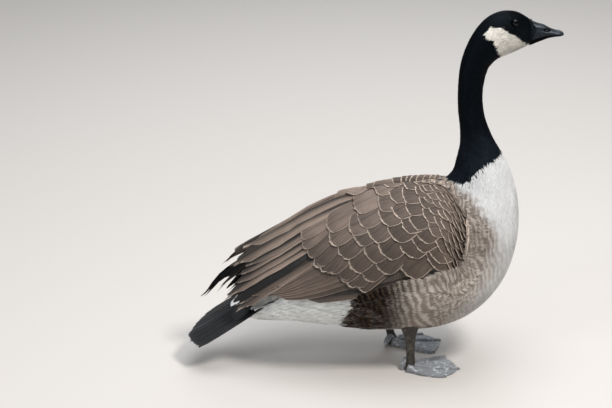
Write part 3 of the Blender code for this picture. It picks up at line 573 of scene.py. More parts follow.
def rows_of_roots(first, last, gap, width, jitter, dice, fine=0.02):
    """Roots in staggered rows round the body between two ribs; gap and width are spacings by place."""
    found_u, found_a = [], []
    ring_a = np.linspace(-np.pi, np.pi, ROW_AROUND)
    for k, u in enumerate(np.arange(first, last, fine)):
        ring = body_at(np.full(ROW_AROUND, u), ring_a)
        step = np.linalg.norm(body_at(np.full(ROW_AROUND, u + fine), ring_a) - ring, axis=1)
        stride = 2.0 ** np.floor(np.log2(np.maximum(gap(ring) * 1.33 / step, 1)))
        used = np.mod(k, stride) == 0
        if not used.any():
            continue
        arc = np.cumsum(np.linalg.norm(np.diff(ring, axis=0), axis=1) / width(ring[1:]))
        arc = np.concatenate([[0], arc])
        places = np.arange(0, arc[-1]) + 0.5 * (int(k / stride[ROW_AROUND // 2]) % 2)
        places = places + dice.normal(size=len(places)) * jitter
        a = np.interp(places, arc, ring_a)
        a = a[np.interp(a, ring_a, used.astype(float)) > 0.5]
        found_a.append(a)
        found_u.append(u + dice.normal(size=len(a)) * jitter * fine * np.interp(a, ring_a, stride) * 0.8)
    return np.concatenate(found_u), np.concatenate(found_a)


PATCH = 0.003


def bake_patch(u, v, across, far, size=PATCH):
    """The corners of each tuft's small patch on the unrolled skin, at its root."""
    return np.stack([u[:, None] + across * size, v[:, None] + far * size], -1)


def unrolled(u, a, first, last):
    """Where roots lie on the unrolled skin between two ribs."""
    return (a / (2 * np.pi)) % 1.0 * 0.98, (u - first) / (last - first) * 0.98


def spindles(place, lie, across, out, length, half, rise, sink, flat=0.45):
    """Thin closed plumes of three sides with one ring, pointed at both ends."""
    turn = np.array((np.pi / 2, np.pi * 7 / 6, np.pi * 11 / 6))
    count = len(place)
    root = place - out * sink[:, None]
    tip = place + lie * length[:, None] + out * rise[:, None]
    mid = place + lie * (length * 0.45)[:, None] + out * (rise * 0.6)[:, None]
    ring = (
        mid[:, None]
        + across[:, None] * (half[:, None] * np.cos(turn))[..., None]
        + out[:, None] * (half[:, None] * flat * np.sin(turn))[..., None]
    )
    points = np.concatenate([root[:, None], ring, tip[:, None]], 1)
    shape = np.array([(0, 2, 1), (0, 3, 2), (0, 1, 3), (4, 1, 2), (4, 2, 3), (4, 3, 1)])
    faces = (shape[None] + 5 * np.arange(count)[:, None, None]).reshape(-1, 3)
    spread = np.array((0, 0.5, -0.4, 0.4, 0.0))
    far = np.array((0, 0.5, 0.5, 0.5, 1.0))
    return points, faces, spread, far


def plush_finish(name, mottle, gloss=0.16):
    """Soft plumes in their own colours, with a faint cold sheen and a darker mottle."""
    plush = Finish(name, 0.6, specular_ior_level=gloss, specular_tint=(0.55, 0.78, 1.0, 1))
    sheen = plush.noise(160)
    tone = plush.mix(plush.paint("tint"), (0.0, 0.0, 0.0, 1), plush.sum("MULTIPLY", sheen, mottle))
    rough = plush.sum("MULTIPLY_ADD", sheen, 0.25, 0.45)
    return plush.done(tone, None, 0, rough)


velvet = plush_finish("velvet_plumage", 0.30, 0.10)
dice = np.random.default_rng(11)
# Node, first and last rib, space between rows and between plumes and how much of each is lost
# toward the bill, step between the rows tried, length and half width of a plume.
PLUSH = {
    "head_plumage": ("head", 20.0, 28.8, (1.7, 0.5), (1.25, 0.35), 0.03125, 7.5, 0.95),
    "neck_plumage": ("neck_upper", 8.4, 20.3, (2.4, 0.0), (1.7, 0.0), 0.008, 10.0, 1.25),
}


def finer_ahead(spacing, lost):
    """A spacing that shrinks toward the bill."""
    return lambda p: spacing - lost * smooth(205, 250, p[..., 0])


for name, (node, first, last, gap, width, fine, long, thick) in PLUSH.items():
    on_head = node == "head"
    u, a = rows_of_roots(first, last, finer_ahead(*gap), finer_ahead(*width), 0.36, dice, fine)
    place, lie, across, out = body_frame(u, a)
    keep = place[:, 0] < np.interp(place[:, 2], *BILL_EDGE) - dice.uniform(0, 1.0, len(u))
    if on_head:
        keep &= np.hypot((place[:, 0] - EYE[0]) / 1.15, place[:, 2] - EYE[2]) > 5.8
    else:
        edge = place[:, 2] - np.interp(place[:, 0], *BLACK_ENDS)
        keep &= edge > -14 + 4 * dice.normal(size=len(u))
    u, a, place, lie, across, out = (v[keep] for v in (u, a, place, lie, across, out))
    count = len(u)
    face = smooth(200, 250, place[:, 0]) if on_head else np.zeros(count)
    length = (long - 3.6 * face) * dice.uniform(0.8, 1.25, count)
    half = (thick - 0.4 * face) * dice.uniform(0.8, 1.2, count)
    lie = unit(lie + across * dice.normal(size=count)[:, None] * 0.12)
    depth = np.interp(u, *PLUMAGE_DEPTH)
    base = place - out * (depth * 0.75 - 1.5 * smooth(27.5, 28.2, u))[:, None]
    rise = depth * dice.uniform(0.50, 0.80, count)
    rise -= 0.5 * bend_at(u, a, place, lie, out) * length**2
    sink = np.full(count, 0.8)
    points, faces, spread, far = spindles(base, lie, across, out, length, half, rise, sink, 0.3)
    middle, tip = markings(place, a)
    tone = dice.uniform(0.75, 1.25, count)[:, None]
    tint = np.stack([middle * tone * 0.8] + [middle * tone] * 3 + [tip * tone], 1)
    patch = bake_patch(*unrolled(u, a, first, last), spread, far)
    piece = put_mesh(name, points, [faces], velvet, {"OFBake": patch}, {"tint": tint}, sharp=math.radians(70))
    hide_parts(node)

# The body plumage: rows of soft vanes from the foot of the neck to the tail, each a thin closed
# blade with a paler worn tip that lies over the next row like a roof tile.


def blade(stations, columns, ends=0.6, rounding=0.12):
    """One closed feather blade: places along and across it, its underside and its faces."""
    rows, cols = len(stations), columns
    sigma = np.concatenate([np.repeat(stations, cols), stations[1:-1]])
    t = np.concatenate([np.tile(np.linspace(-1, 1, cols), rows), np.zeros(rows - 2)])
    under = np.concatenate([np.zeros(rows * cols), np.ones(rows - 2)])
    quads, tris = [], []
    base = rows * cols
    for i in range(rows - 1):
        for j in range(cols - 1):
            k = i * cols + j
            quads.append((k, k + 1, k + cols + 1, k + cols))
    for i in range(1, rows - 2):
        k = base + i - 1
        left, right = i * cols, i * cols + cols - 1
        quads.append((left, left + cols, k + 1, k))
        quads.append((right + cols, right, k, k + 1))
    tip, end = (rows - 1) * cols, base + rows - 3
    tris += [(0, cols, base), (2 * cols - 1, cols - 1, base)]
    tris += [(tip - cols, tip, end), (tip + cols - 1, tip - 1, end)]
    tris += [(j + 1, j, base) for j in range(cols - 1)]
    tris += [(tip + j, tip + j + 1, end) for j in range(cols - 1)]
    wide = np.interp(sigma, (0, 0.3, 0.7, 0.9, 1.0), (0.5, 0.9, 1.0, 0.92, ends))
    return {
        "s": sigma * (1 - rounding * np.abs(t) ** 2.4), "sigma": sigma, "t": t, "under": under,
        "wide": wide, "quads": np.array(quads), "tris": np.array(tris), "size": base + rows - 2,
        "rim": (np.abs(t) > 0.99) | ((sigma > 0.99) & (under < 1)),
    }


def lay(form, length, half, root_lift, tip_lift, crown, thick, tilt, bow, ragged, dice):
    """How far along, across and above its root each corner of each feather lies."""
    count = len(length)
    torn = dice.normal(size=(count, form["size"])) * form["rim"] * ragged
    s = form["s"][None] + torn * (form["sigma"] > 0.99) * 0.6
    far = s * length[:, None]
    out = half[:, None] * (form["wide"] * form["t"])[None] * (1 + torn * 0.5)
    out = out + bow[:, None] * np.sin(np.pi * np.clip(s, 0, 1))
    lift = root_lift[:, None] + (tip_lift - root_lift)[:, None] * np.clip(s, 0, 1.1)
    lift = lift + crown[:, None] * (1 - form["t"] ** 2)[None] * np.minimum(1, 4 * form["sigma"])[None]
    lift = lift + tilt[:, None] * (form["t"] * np.minimum(1, 2.5 * form["sigma"]))[None]
    lift = lift - thick * form["under"][None]
    return far, out, lift


def many(form, count):
    """The faces of so many copies of a blade."""
    shift = form["size"] * np.arange(count)[:, None, None]
    return [(form["quads"][None] + shift).reshape(-1, 4), (form["tris"][None] + shift).reshape(-1, 3)]


def from_roots(place, lie, across, out, far, wide, high):
    """Points so far along, across and above the root of each feather."""
    points = place[:, None] + lie[:, None] * far[..., None]
    return points + across[:, None] * wide[..., None] + out[:, None] * high[..., None]


def feather_maps(form, patch, count):
    """Each feather's patch on the bake map, and the map of its own width and length."""
    own = np.stack([(form["t"] + 1) / 2, form["sigma"]], -1)
    return {"OFBake": patch, "feather": np.tile(own, (count, 1))}


def feather_paints(form, tint, pale):
    """One colour for each feather's vane and one for its worn edge."""
    colours = {"tint": tint, "edge": pale}
    return {label: np.repeat(colour[:, None], form["size"], 1) for label, colour in colours.items()}


def feather_finish(name, fringe, barbs, web_and_shade=1.0, roughness=0.72, shaft=0.0, glow=0.04, dusk=0.0):
    """Barbs on both sides of a shaft, a worn pale fringe and darker inner webs; that dark band is partly the
    web's own colour and partly painted shade under the feather that overlaps it.
    """
    vane = Finish(name, roughness, sheen_weight=glow, sheen_roughness=0.5, specular_ior_level=0.35)
    where = vane.add("ShaderNodeUVMap", {}, uv_map="feather").outputs[0]
    split = vane.add("ShaderNodeSeparateXYZ", {0: where})
    signed = vane.sum("MULTIPLY_ADD", split.outputs[0], 2.0, -1.0)
    side = vane.sum("ABSOLUTE", signed)
    far = split.outputs[1]
    grain = vane.noise(420, 4.0)
    cloud = vane.noise(60, 2.0)
    worn = vane.sum("MULTIPLY_ADD", grain, 0.10, -0.05)
    at_side = vane.step(vane.sum("ADD", side, worn), *fringe["side"])
    at_side = vane.sum("MULTIPLY", at_side, vane.step(far, 0.25, 0.6))
    at_side = vane.sum("MULTIPLY", at_side, fringe["side_share"])
    at_tip = vane.step(vane.sum("ADD", far, worn), *fringe["tip"])
    pale = vane.sum("MAXIMUM", at_side, at_tip)
    turn = vane.sum("SUBTRACT", vane.sum("MULTIPLY", far, barbs), vane.sum("MULTIPLY", side, barbs * 0.28))
    object_place = vane.add("ShaderNodeTexCoord", {}).outputs["Object"]
    wide = vane.add("ShaderNodeMapping", {"Vector": where, "Scale": (9.0, 1.2, 1.0)}).outputs[0]
    apart = vane.add("ShaderNodeMapping", {"Vector": object_place, "Scale": (22.0, 22.0, 22.0)}).outputs[0]
    streak_place = vane.add("ShaderNodeVectorMath", {0: wide, 1: apart}, operation="ADD").outputs[0]
    streaks = vane.step(vane.noise(1.5, 4.0, streak_place), 0.3, 0.7)
    wave = vane.sum("SINE", vane.sum("MULTIPLY_ADD", grain, 3.0, vane.sum("MULTIPLY", turn, 6.283)))
    lines = vane.sum("MULTIPLY_ADD", wave, 0.5, 0.5)
    base = vane.mix(vane.paint("tint"), vane.paint("edge"), pale)
    shade = vane.sum("MULTIPLY_ADD", lines, 0.08, vane.sum("MULTIPLY_ADD", cloud, 0.30, 0.62))
    shade = vane.sum("MULTIPLY_ADD", streaks, 0.30, shade)
    # Partly painted shade: the side that lies under the overlapping neighbour is darkened.
    if web_and_shade < 1:
        inner = vane.step(signed, -0.15, 0.70)
        shade = vane.sum("MULTIPLY", shade, vane.sum("MULTIPLY_ADD", inner, 1 - web_and_shade, web_and_shade))
    if dusk:
        dull = vane.sum("MULTIPLY", vane.step(far, 0.60, 0.92), dusk)
        dull = vane.sum("MULTIPLY", dull, vane.sum("SUBTRACT", 1.0, pale))
        shade = vane.sum("MULTIPLY", shade, vane.sum("SUBTRACT", 1.0, dull))
    if shaft:
        on_shaft = vane.sum("MULTIPLY", vane.step(side, 0.07, 0.02), shaft)
        shade = vane.sum("MULTIPLY", shade, vane.sum("SUBTRACT", 1.0, on_shaft))
    grey = vane.add("ShaderNodeCombineXYZ", {0: shade, 1: shade, 2: shade}).outputs[0]
    tone = vane.mix(base, grey, 1.0, "MULTIPLY")
    return vane.done(tone, vane.sum("MULTIPLY_ADD", lines, 0.6, grain), 0.00025)


soft_fringe = {"side": (0.85, 1.0), "side_share": 0.15, "tip": (0.78, 0.90)}
body_vane = feather_finish("body_feathers", soft_fringe, 22)
# The height at each x where the wing's lower edge covers the body.
WING_FOOT = (
    (-230, -190, -150, -110, -60, -10, 35, 80, 120, 158), (119, 141, 156, 156, 159, 174, 188, 199, 212, 228),
)
VANE_END = -216
dice = np.random.default_rng(23)
body_blade = blade((0.0, 0.35, 0.66, 0.86, 1.0), 7, ends=0.85, rounding=0.05)


def hidden_by_wing(p):
    """Whether a place on the body lies well under the folded wing."""
    x, y, z = p[..., 0], np.abs(p[..., 1]), p[..., 2]
    return (z > np.interp(x, *WING_FOOT) + 14) & (y > 24) & (x < 138) & (x > -225)


def body_gap(p):
    """The space between rows, closer on the breast and wider on the vent."""
    return 8.4 - 2.2 * smooth(60, 130, p[..., 0]) + 2.5 * smooth(-20, -60, p[..., 0])


def body_width(p):
    """The space between neighbours in a row."""
    return 11.0 - 3.0 * smooth(60, 130, p[..., 0]) + 2.0 * smooth(-20, -60, p[..., 0])


all_u, all_a = rows_of_roots(0.15, 15.6, body_gap, body_width, 0.13, dice, 0.05)
all_u = np.clip(all_u + 0.05 * ripple(body_at(all_u, all_a), 45, 31), 0.1, 15.6)
BODY_PIECES = (("vent_feathers", 0, 3.6), ("flank_feathers", 3.6, 8.4), ("breast_feathers", 8.4, 16))
for name, first, last in BODY_PIECES:
    chosen = (all_u >= first) & (all_u < last)
    u, a = all_u[chosen], all_a[chosen]
    place, lie, across, out = body_frame(u, a)
    edge = place[:, 2] - np.interp(place[:, 0], *BLACK_ENDS)
    keep = ~hidden_by_wing(place) & (edge < 2) & ((place[:, 0] > -165) | (np.cos(a) < -0.35))
    u, a, place, lie, across, out = (v[keep] for v in (u, a, place, lie, across, out))
    count = len(u)
    bend = bend_at(u, a, place, lie, out)
    aside = body_at(u, a + 0.08) - place
    curve = np.clip(-2 * np.sum(aside * out, 1) / np.maximum(np.sum(aside**2, 1), 1), 0, 0.05)
    vent = smooth(-45, -75, place[:, 0])
    length = body_gap(place) * (3.0 + 0.8 * vent) * dice.uniform(0.9, 1.12, count)
    length = np.minimum(length, np.maximum(place[:, 0] - VANE_END, 8))
    half = body_width(place) * 0.75 * dice.uniform(0.92, 1.1, count)
    lie = unit(lie + across * (dice.normal(size=count) * 0.06)[:, None])
    across = unit(np.cross(out, lie))
    depth = np.interp(u, *PLUMAGE_DEPTH)
    tip_lift = -0.3 + dice.normal(size=count) * 0.12
    far, wide, lift = lay(
        body_blade, length, half, -depth * 0.7, tip_lift, np.full(count, 0.25), 0.35,
        dice.normal(size=count) * 0.15, dice.normal(size=count) * 0.8, 0.05 + 0.05 * vent[:, None], dice,
    )
    fall = lift - 0.5 * bend[:, None] * far**2 - 0.5 * curve[:, None] * wide**2
    points = from_roots(place, lie, across, out, far, wide, fall) - (out * 1.3)[:, None]
    middle, tip = markings(place + lie * (length * 0.8)[:, None], a)
    tone = dice.uniform(0.88, 1.10, count)[:, None]
    patch = bake_patch(*unrolled(u, a, first, last), body_blade["t"] / 2, body_blade["s"])
    piece = put_mesh(
        name, points, many(body_blade, count), body_vane, feather_maps(body_blade, patch, count),
        feather_paints(body_blade, middle * tone, tip * (0.5 + 0.5 * tone)),
    )
    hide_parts("torso")

# The feathers over the thigh: longer dark brown plumes that hang back over the white vent
# in a ragged edge, fixed among the last rows of the flank.
THIGH_PLUMES = 150
THIGH_TIP = (0.052, 0.035, 0.024)
thigh_blade = blade((0.0, 0.3, 0.55, 0.78, 0.92, 1.0), 7, ends=0.30, rounding=0.10)
dice = np.random.default_rng(31)
a = dice.uniform(1.05, 2.55, THIGH_PLUMES) * np.where(np.arange(THIGH_PLUMES) % 2, 1, -1)
u = 4.55 + 1.35 * dice.uniform(size=THIGH_PLUMES) ** 1.3 + 0.35 * (np.abs(a) - 1.8)
place, lie, across, out = body_frame(u, a)
keep = ~hidden_by_wing(place)
u, a, place, lie, across, out = (v[keep] for v in (u, a, place, lie, across, out))
count = len(u)
length = dice.uniform(30, 44, count)
lie = unit(lie + across * (dice.normal(size=count) * 0.12)[:, None])
across = unit(np.cross(out, lie))
bend = bend_at(u, a, place, lie, out)
far, wide, lift = lay(
    thigh_blade, length, dice.uniform(5, 7.5, count), np.full(count, -3.0), dice.uniform(-0.3, 0.5, count),
    np.full(count, 0.3), 0.35, dice.normal(size=count) * 0.2, dice.normal(size=count) * 1.5, 0.05, dice,
)
points = from_roots(place, lie, across, out, far, wide, lift - 0.5 * np.maximum(bend, 0)[:, None] * far**2)
share = dice.uniform(0.7, 1.5, count)[:, None]
patch = bake_patch((a / (2 * np.pi)) % 1.0 * 0.98, (u - 4) / 3, thigh_blade["t"] / 2, thigh_blade["s"])
thigh = put_mesh(
    "thigh_feathers", points, many(thigh_blade, count), body_vane, feather_maps(thigh_blade, patch, count),
    feather_paints(thigh_blade, np.array(REAR_FLANK[0]) * share, np.array(THIGH_TIP) * share),
)
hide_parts("torso")

# The outer plumage of the body: fine soft plumes rooted between the vanes, so dense that their
# tips join. Pale and brown tips stand in wavy bars across the flank; breast and vent are white.
white_down = plush_finish("soft_plumes", 0.06, 0.06)
# The bars follow a chart of the body: its step in ribs, its size and its row at the flank's middle.
BAR_STEP = 0.05
BAR_ROWS, BAR_AROUND = 320, 180
FLANK_ROW = 180
PLUME_END = -218
bar_u, bar_a = np.linspace(0, 16, BAR_ROWS + 1), np.linspace(-np.pi, np.pi, BAR_AROUND + 1)
bar_grid = body_at(*np.meshgrid(bar_u, bar_a, indexing="ij"))
bar_reach = np.cumsum(np.linalg.norm(np.diff(bar_grid, axis=0), axis=-1), axis=0)
bar_reach = np.concatenate([np.zeros((1, BAR_AROUND + 1)), bar_reach])
bar_reach -= bar_reach[FLANK_ROW]


def barred(u, a, place, dice):
    """Colours of plumes whose tips lie at these places."""
    a = (a + np.pi) % (2 * np.pi) - np.pi
    i = np.clip((u / BAR_STEP).astype(int), 0, BAR_ROWS)
    j = np.clip(((a + np.pi) / (2 * np.pi) * BAR_AROUND).round().astype(int), 0, BAR_AROUND)
    middle, tip = markings(place, a)
    period = 9.4 - 3.6 * smooth(40, 130, place[:, 0])
    onward = bar_reach[np.minimum(i + 1, BAR_ROWS), j] - bar_reach[i, j]
    reach = bar_reach[i, j] + (u - bar_u[i]) / BAR_STEP * onward
    ahead = smooth(30, 90, place[:, 0])
    reach = reach * (1 - ahead) + (place[:, 0] - bar_grid[FLANK_ROW, j, 0]) * 0.95 * ahead
    wander = 1.7 * ripple(place, 38, 51) + 0.8 * ripple(place, 13, 52) + 0.15 * dice.normal(size=len(u))
    phase = np.mod((reach + wander) / period, 1)
    wide = 0.46 + 0.10 * ripple(place, 20, 53)
    share = smooth(0.0, 0.10, phase) * smooth(wide + 0.12, wide, phase)
    share *= 0.70 + 0.30 * smooth(-0.9, 0.1, ripple(place, 20, 54))
    soft = np.maximum(0.35 * smooth(150, 112, place[:, 2]), 0.35 * ahead)
    share = 0.45 + (share - 0.45) * (1 - soft)
    return blend(middle, tip, share)


def plumes(name, first, last, gap, width, grow, wanted, seed):
    """A piece of soft plumes between two ribs of the body, where wanted says that they grow."""
    dice = np.random.default_rng(seed)
    u, a = rows_of_roots(
        first, last, lambda p: gap + 0 * p[..., 0], lambda p: width + 0 * p[..., 0], 0.4, dice, 0.02,
    )
    place, lie, across, out = body_frame(u, a)
    edge = place[:, 2] - np.interp(place[:, 0], *BLACK_ENDS)
    hidden = hidden_by_wing(place) & hidden_by_wing(place + lie * 9)
    keep = wanted(place, a, dice) & ~hidden & (edge < 3) & ((place[:, 0] > -190) | (np.cos(a) < -0.1))
    u, a, place, lie, across, out = (v[keep] for v in (u, a, place, lie, across, out))
    count = len(u)
    length = 11.0 * grow * dice.uniform(0.85, 1.15, count)
    length = np.minimum(length, np.maximum(place[:, 0] - PLUME_END, 6))
    lie = unit(lie + across * dice.normal(size=count)[:, None] * 0.12)
    depth = np.interp(u, *PLUMAGE_DEPTH)
    fall = 0.5 * bend_at(u, a, place, lie, out) * length**2
    base = place - out * depth[:, None] * 0.35
    half = 1.45 * grow * dice.uniform(0.8, 1.25, count)
    rise = depth * dice.uniform(0.26, 0.34, count) - fall
    sink = np.full(count, 0.9)
    points, faces, spread, far = spindles(base, lie, across, out, length, half, rise, sink, 0.2)
    per_mm = BAR_STEP / np.linalg.norm(body_frame(u - BAR_STEP, a)[0] - place, axis=1)
    tone = dice.uniform(0.90, 1.06, count)[:, None]
    tip_u = np.clip(u - per_mm * length * 0.85, 0, 16)
    shade = barred(tip_u, a, place + lie * (length * 0.85)[:, None], dice)
    patch = bake_patch(*unrolled(u, a, first, last), spread, far)
    tint = np.repeat((shade * tone)[:, None], 5, 1)
    piece = put_mesh(name, points, [faces], white_down, {"OFBake": patch}, {"tint": tint})
    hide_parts("torso")


def behind_thigh(p, a, dice):
    """Where the long white plumes of the vent grow, in a ragged line."""
    return p[:, 0] < -48 + (p[:, 2] - 114) * 0.24 + 3 * dice.normal(size=len(a))


def beside_wing(p, a, dice):
    """Where the short plumes grow, ahead of the vent and over the back; it needs no dice."""
    return (p[:, 0] > -52 + (p[:, 2] - 114) * 0.24) | (np.cos(a) > 0.2)


plumes("vent_plumes", 0.15, 5.6, 3.4, 2.5, 1.5, behind_thigh, 61)
plumes("flank_plumes", 4.0, 9.4, 2.3, 1.8, 1.0, beside_wing, 62)
plumes("breast_plumes", 9.4, 15.8, 2.3, 1.8, 1.0, beside_wing, 63)

# The folded wings: on each a firm pad carries rows of brown coverts with tan fringes, long
# tertials and secondaries below them and black primaries that come out at the rear.

# The wing's cuts by their x: y and z of the top ridge, of the bulge and of the lower edge.
WING_CUTS = {
    158: (48, 312, 84, 276, 93, 228), 120: (32, 332, 91, 285, 107, 212), 80: (25, 335, 94, 281, 111, 199),
    35: (20, 331, 93, 268, 112, 188), -10: (18, 320, 91, 252, 111, 174), -60: (17, 306, 85, 229, 106, 159),
    -110: (16, 281, 75, 204, 97, 156), -150: (15, 254, 64, 188, 85, 156), -190: (14, 230, 52, 172, 69, 141),
    -230: (12, 205, 38, 155, 53, 119), -265: (10, 175, 25, 138, 35, 110), -300: (7, 130, 12, 118, 17, 106),
}
X_STEP, DROP_STEP = 5.0, 3.0
WIDEST, NARROWEST = 112.3, 0.7
chart_x = np.arange(-325.0, 166.0, X_STEP)
chart_drop = np.arange(-30.0, 196.0, DROP_STEP)
cut_x = np.array(sorted(WING_CUTS, reverse=True), float)
cuts = np.array([WING_CUTS[int(x)] for x in cut_x], float)


def wing_chart():
    """The wing's surface at each x and each distance down from its top ridge."""
    chart = np.zeros((len(chart_x), len(chart_drop), 3))
    for i, x in enumerate(chart_x):
        row = np.interp(-x, -cut_x, np.arange(len(cut_x)))
        ridge_y, ridge_z, bulge_y, bulge_z, edge_y, edge_z = along(cuts, row)
        corners = np.array([(1.5, ridge_z - 7.0), (ridge_y, ridge_z), (bulge_y, bulge_z), (edge_y, edge_z)])
        line = along(corners, np.arange(61) / 20)
        span = np.concatenate([[0], np.cumsum(np.linalg.norm(np.diff(line, axis=0), axis=1))])
        span -= span[20]
        past = np.maximum(chart_drop - span[-1], 0)[:, None] * unit(line[-1] - line[-3])
        chart[i, :, 0] = x
        chart[i, :, 1] = np.interp(chart_drop, span, line[:, 0]) + past[:, 0]
        chart[i, :, 2] = np.interp(chart_drop, span, line[:, 1]) + past[:, 1]
    slope_x, slope_d = np.gradient(chart, X_STEP, DROP_STEP, axis=(0, 1))
    return chart, unit(np.cross(slope_x, slope_d))


chart, chart_out = wing_chart()


def wing_at(x, drop, lift, side):
    """Points of the wing's surface raised by lift; side is -1 for the right wing."""
    a = np.clip((x - chart_x[0]) / X_STEP, 0, len(chart_x) - 1.001)
    b = np.clip((drop - chart_drop[0]) / DROP_STEP, 0, len(chart_drop) - 1.001)
    i, j = a.astype(int), b.astype(int)
    s, t = (a - i)[..., None], (b - j)[..., None]

    def read(table):
        near = table[i, j] * (1 - t) + table[i, j + 1] * t
        return near * (1 - s) + (table[i + 1, j] * (1 - t) + table[i + 1, j + 1] * t) * s

    p = read(chart) + unit(read(chart_out)) * lift[..., None]
    y = np.clip(p[..., 1], NARROWEST, WIDEST)
    return np.stack([p[..., 0] + x - np.clip(x, chart_x[0], chart_x[-1]), side * y, p[..., 2]], -1)


def lower_edge(x):
    """How far down from its ridge the wing reaches at each x."""
    knots = sorted(WING_CUTS)
    reach = []
    for k in knots:
        ridge_y, ridge_z, bulge_y, bulge_z, edge_y, edge_z = WING_CUTS[k]
        upper = math.hypot(bulge_y - ridge_y, bulge_z - ridge_z) * 1.04
        reach.append(upper + math.hypot(edge_y - bulge_y, edge_z - bulge_z) * 1.02)
    return np.interp(x, knots, reach)


covert_fringe = {"side": (0.92, 0.985), "side_share": 0.85, "tip": (0.958, 0.982)}
quill_fringe = {"side": (0.86, 0.98), "side_share": 0.85, "tip": (0.972, 0.995)}
covert_vane = feather_finish("wing_coverts", covert_fringe, 34, web_and_shade=0.85, shaft=0.25, dusk=0.22)
# The quills' inner sides are darkened strongly, which paints the shade lines between the tertials.
quill_vane = feather_finish("wing_quills", quill_fringe, 90, web_and_shade=0.16, shaft=0.45, roughness=0.6, dusk=0.4)
black_vane = feather_finish("black_quills", quill_fringe, 90, web_and_shade=0.8, shaft=0.3, roughness=0.5, glow=0.0)
covert_blade = blade((0.0, 0.3, 0.55, 0.75, 0.88, 0.96, 1.0), 9, ends=0.80, rounding=0.09)
point_blade = blade(tuple(np.linspace(0, 0.9, 13)) + (0.96, 1.0), 7, ends=0.12, rounding=0.02)
quill_blade = blade(tuple(np.linspace(0, 0.9, 15)) + (0.95, 0.985, 1.0), 7, ends=0.45, rounding=0.05)
# Rows of coverts: x of the tips 30 mm down the wing, how the row slants and curls forward below
# that, how far down it starts and ends, spacing, length and how little its fringes show.
COVERT_ROWS = (
    (-124, 0.12, 0.0044, 34, 178, 22, 64, 0.9),
    (-80, 0.05, 0.0038, 40, 172, 30, 66, 0.45),
    (-42, 0.05, 0.0033, 56, 176, 32, 62, 0.3),
    (-32, 0.35, 0.0022, -14, 176, 34, 62, 0),
    (8, 0.10, 0.0038, -12, 176, 35, 62, 0),
    (30, 0.30, 0.0022, -14, 172, 31, 54, 0),
    (52, 0.10, 0.0035, -10, 170, 28, 50, 0),
    (76, 0.20, 0.0025, -14, 166, 24, 46, 0),
    (88, 0.35, 0.0015, -12, 160, 20, 40, 0),
    (99, 0.42, 0, -14, 156, 17, 36, 0),
    (110, 0.45, 0, -12, 150, 16, 34, 0),
    (120, 0.45, 0, -14, 146, 14, 30, 0),
    (130, 0.45, 0, -12, 140, 13, 28, 0),
    (140, 0.40, 0, -14, 130, 12, 26, 0),
    (149, 0.40, 0, -12, 120, 11, 24, 0),
)
# Single coverts at the lower rear of the rows, and thin ones along the front edge.
LOW_COVERTS = ((-98, 100), (-88, 112), (-72, 124), (-52, 146), (-42, 158), (-22, 172))
FRONT_COVERTS = ((161, 8, 158, 58), (161, 38, 156, 94))
# The wing's front edge (x at each distance down) and its lower edge (distance down at each x).
WING_FRONT = ((-14, 22, 54, 82, 114, 128, 145, 160, 172), (150, 158, 156, 153, 149, 142, 130, 110, 88))
WING_LOW = (
    (-168, -150, -130, -100, -70, -40, 0, 40, 85, 100), (102, 120, 140, 158, 172, 180, 180, 170, 160, 160),
)
# The line along both edges (x, distance down) that the side's plumes cover, and how far the wing's
# surface stands above the body's at each distance down.
WING_RIM = (
    (157, -6), (160, 22), (158, 54), (155, 82), (151, 112), (142, 128), (128, 144), (110, 158), (85, 170),
    (50, 175), (10, 180), (-30, 183),
)
WING_STANDS = ((5, 22, 40, 54, 70, 82, 100, 114, 128, 145, 172), (1, 6, 11, 13, 12, 10, 7, 6, 6, 8, 9))
COVER_PLUMES = 7000
# Tertials: root x, drop, tip x, drop, half width, lifts at root and tip, tilt, bow, tone.
TERTIALS = (
    (10, -20, -205, -22, 12, -3.6, 1.0, 0.4, 2.0, 1.15),
    (-20, -4, -218, -8, 15, -3.6, 1.6, 0.4, 2.0, 1.1),
    (-40, 14, -233, 15, 16, -3.6, 2.8, 0.9, -3.0, 1.05),
    (-50, 30, -215, 30, 9, -3.7, 2.2, 0.8, 1.0, 0.85),
    (-50, 36, -226, 40, 9, -3.8, 1.8, 0.8, -2.0, 1.1),
    (-60, 50, -232, 50, 11, -4.0, 1.3, 0.8, -3.0, 0.9),
    (-70, 63, -244, 62, 12, -4.2, 0.8, 0.9, -5.0, 1.35),
    (-90, 84, -230, 87, 9, -4.8, -1.6, 0.8, -2.0, 0.70),
    (-60, 86, -228, 95, 13, -4.6, -0.8, 0.8, -3.0, 0.95),
)
SECONDARIES = 9
# Tips of the longest primaries: x and distance down. The left wing's show beyond the right's.
LONG_TIPS = {
    "right": ((-250, 60), (-244, 66), (-236, 74), (-230, 80)),
    "left": ((-284, 20), (-278, 27), (-263, 31), (-252, 26), (-243, 40)),
}
# The left wing lies this much further back.
LEFT_BACK = 15.0
# A feather that is narrower or shorter than this has its fringe narrowed with it.
FULL_FRINGE_HALF, FULL_FRINGE_LENGTH = 18, 60
BROWN = np.array((0.083, 0.0605, 0.047))
GREY_BROWN = np.array((0.208, 0.158, 0.130))
PALE_BROWN = np.array((0.206, 0.155, 0.124))
TAN = np.array((0.48, 0.388, 0.32))
INK = np.array((0.0055, 0.0048, 0.0050))


def lay_rows(form, rows, crown, thick, seed):
    """Feathers from rows of numbers: two for the root's place on a flat chart, two for the tip's, half
    width, lifts at root and tip, tilt, bow, raggedness and the colours of vane and edge."""
    root0, root1, tip0, tip1, half, low, high, tilt, bow, ragged = np.array([r[:10] for r in rows], float).T
    run = np.stack([tip0 - root0, tip1 - root1], -1)
    length = np.linalg.norm(run, axis=1)
    run /= length[:, None]
    crown, ragged = np.full(len(rows), crown), ragged[:, None]
    corners = lay(form, length, half, low, high, crown, thick, tilt, bow, ragged, np.random.default_rng(seed))
    paints = feather_paints(form, np.array([r[10] for r in rows]), np.array([r[11] for r in rows]))
    return root0, root1, run, length, half, corners, paints


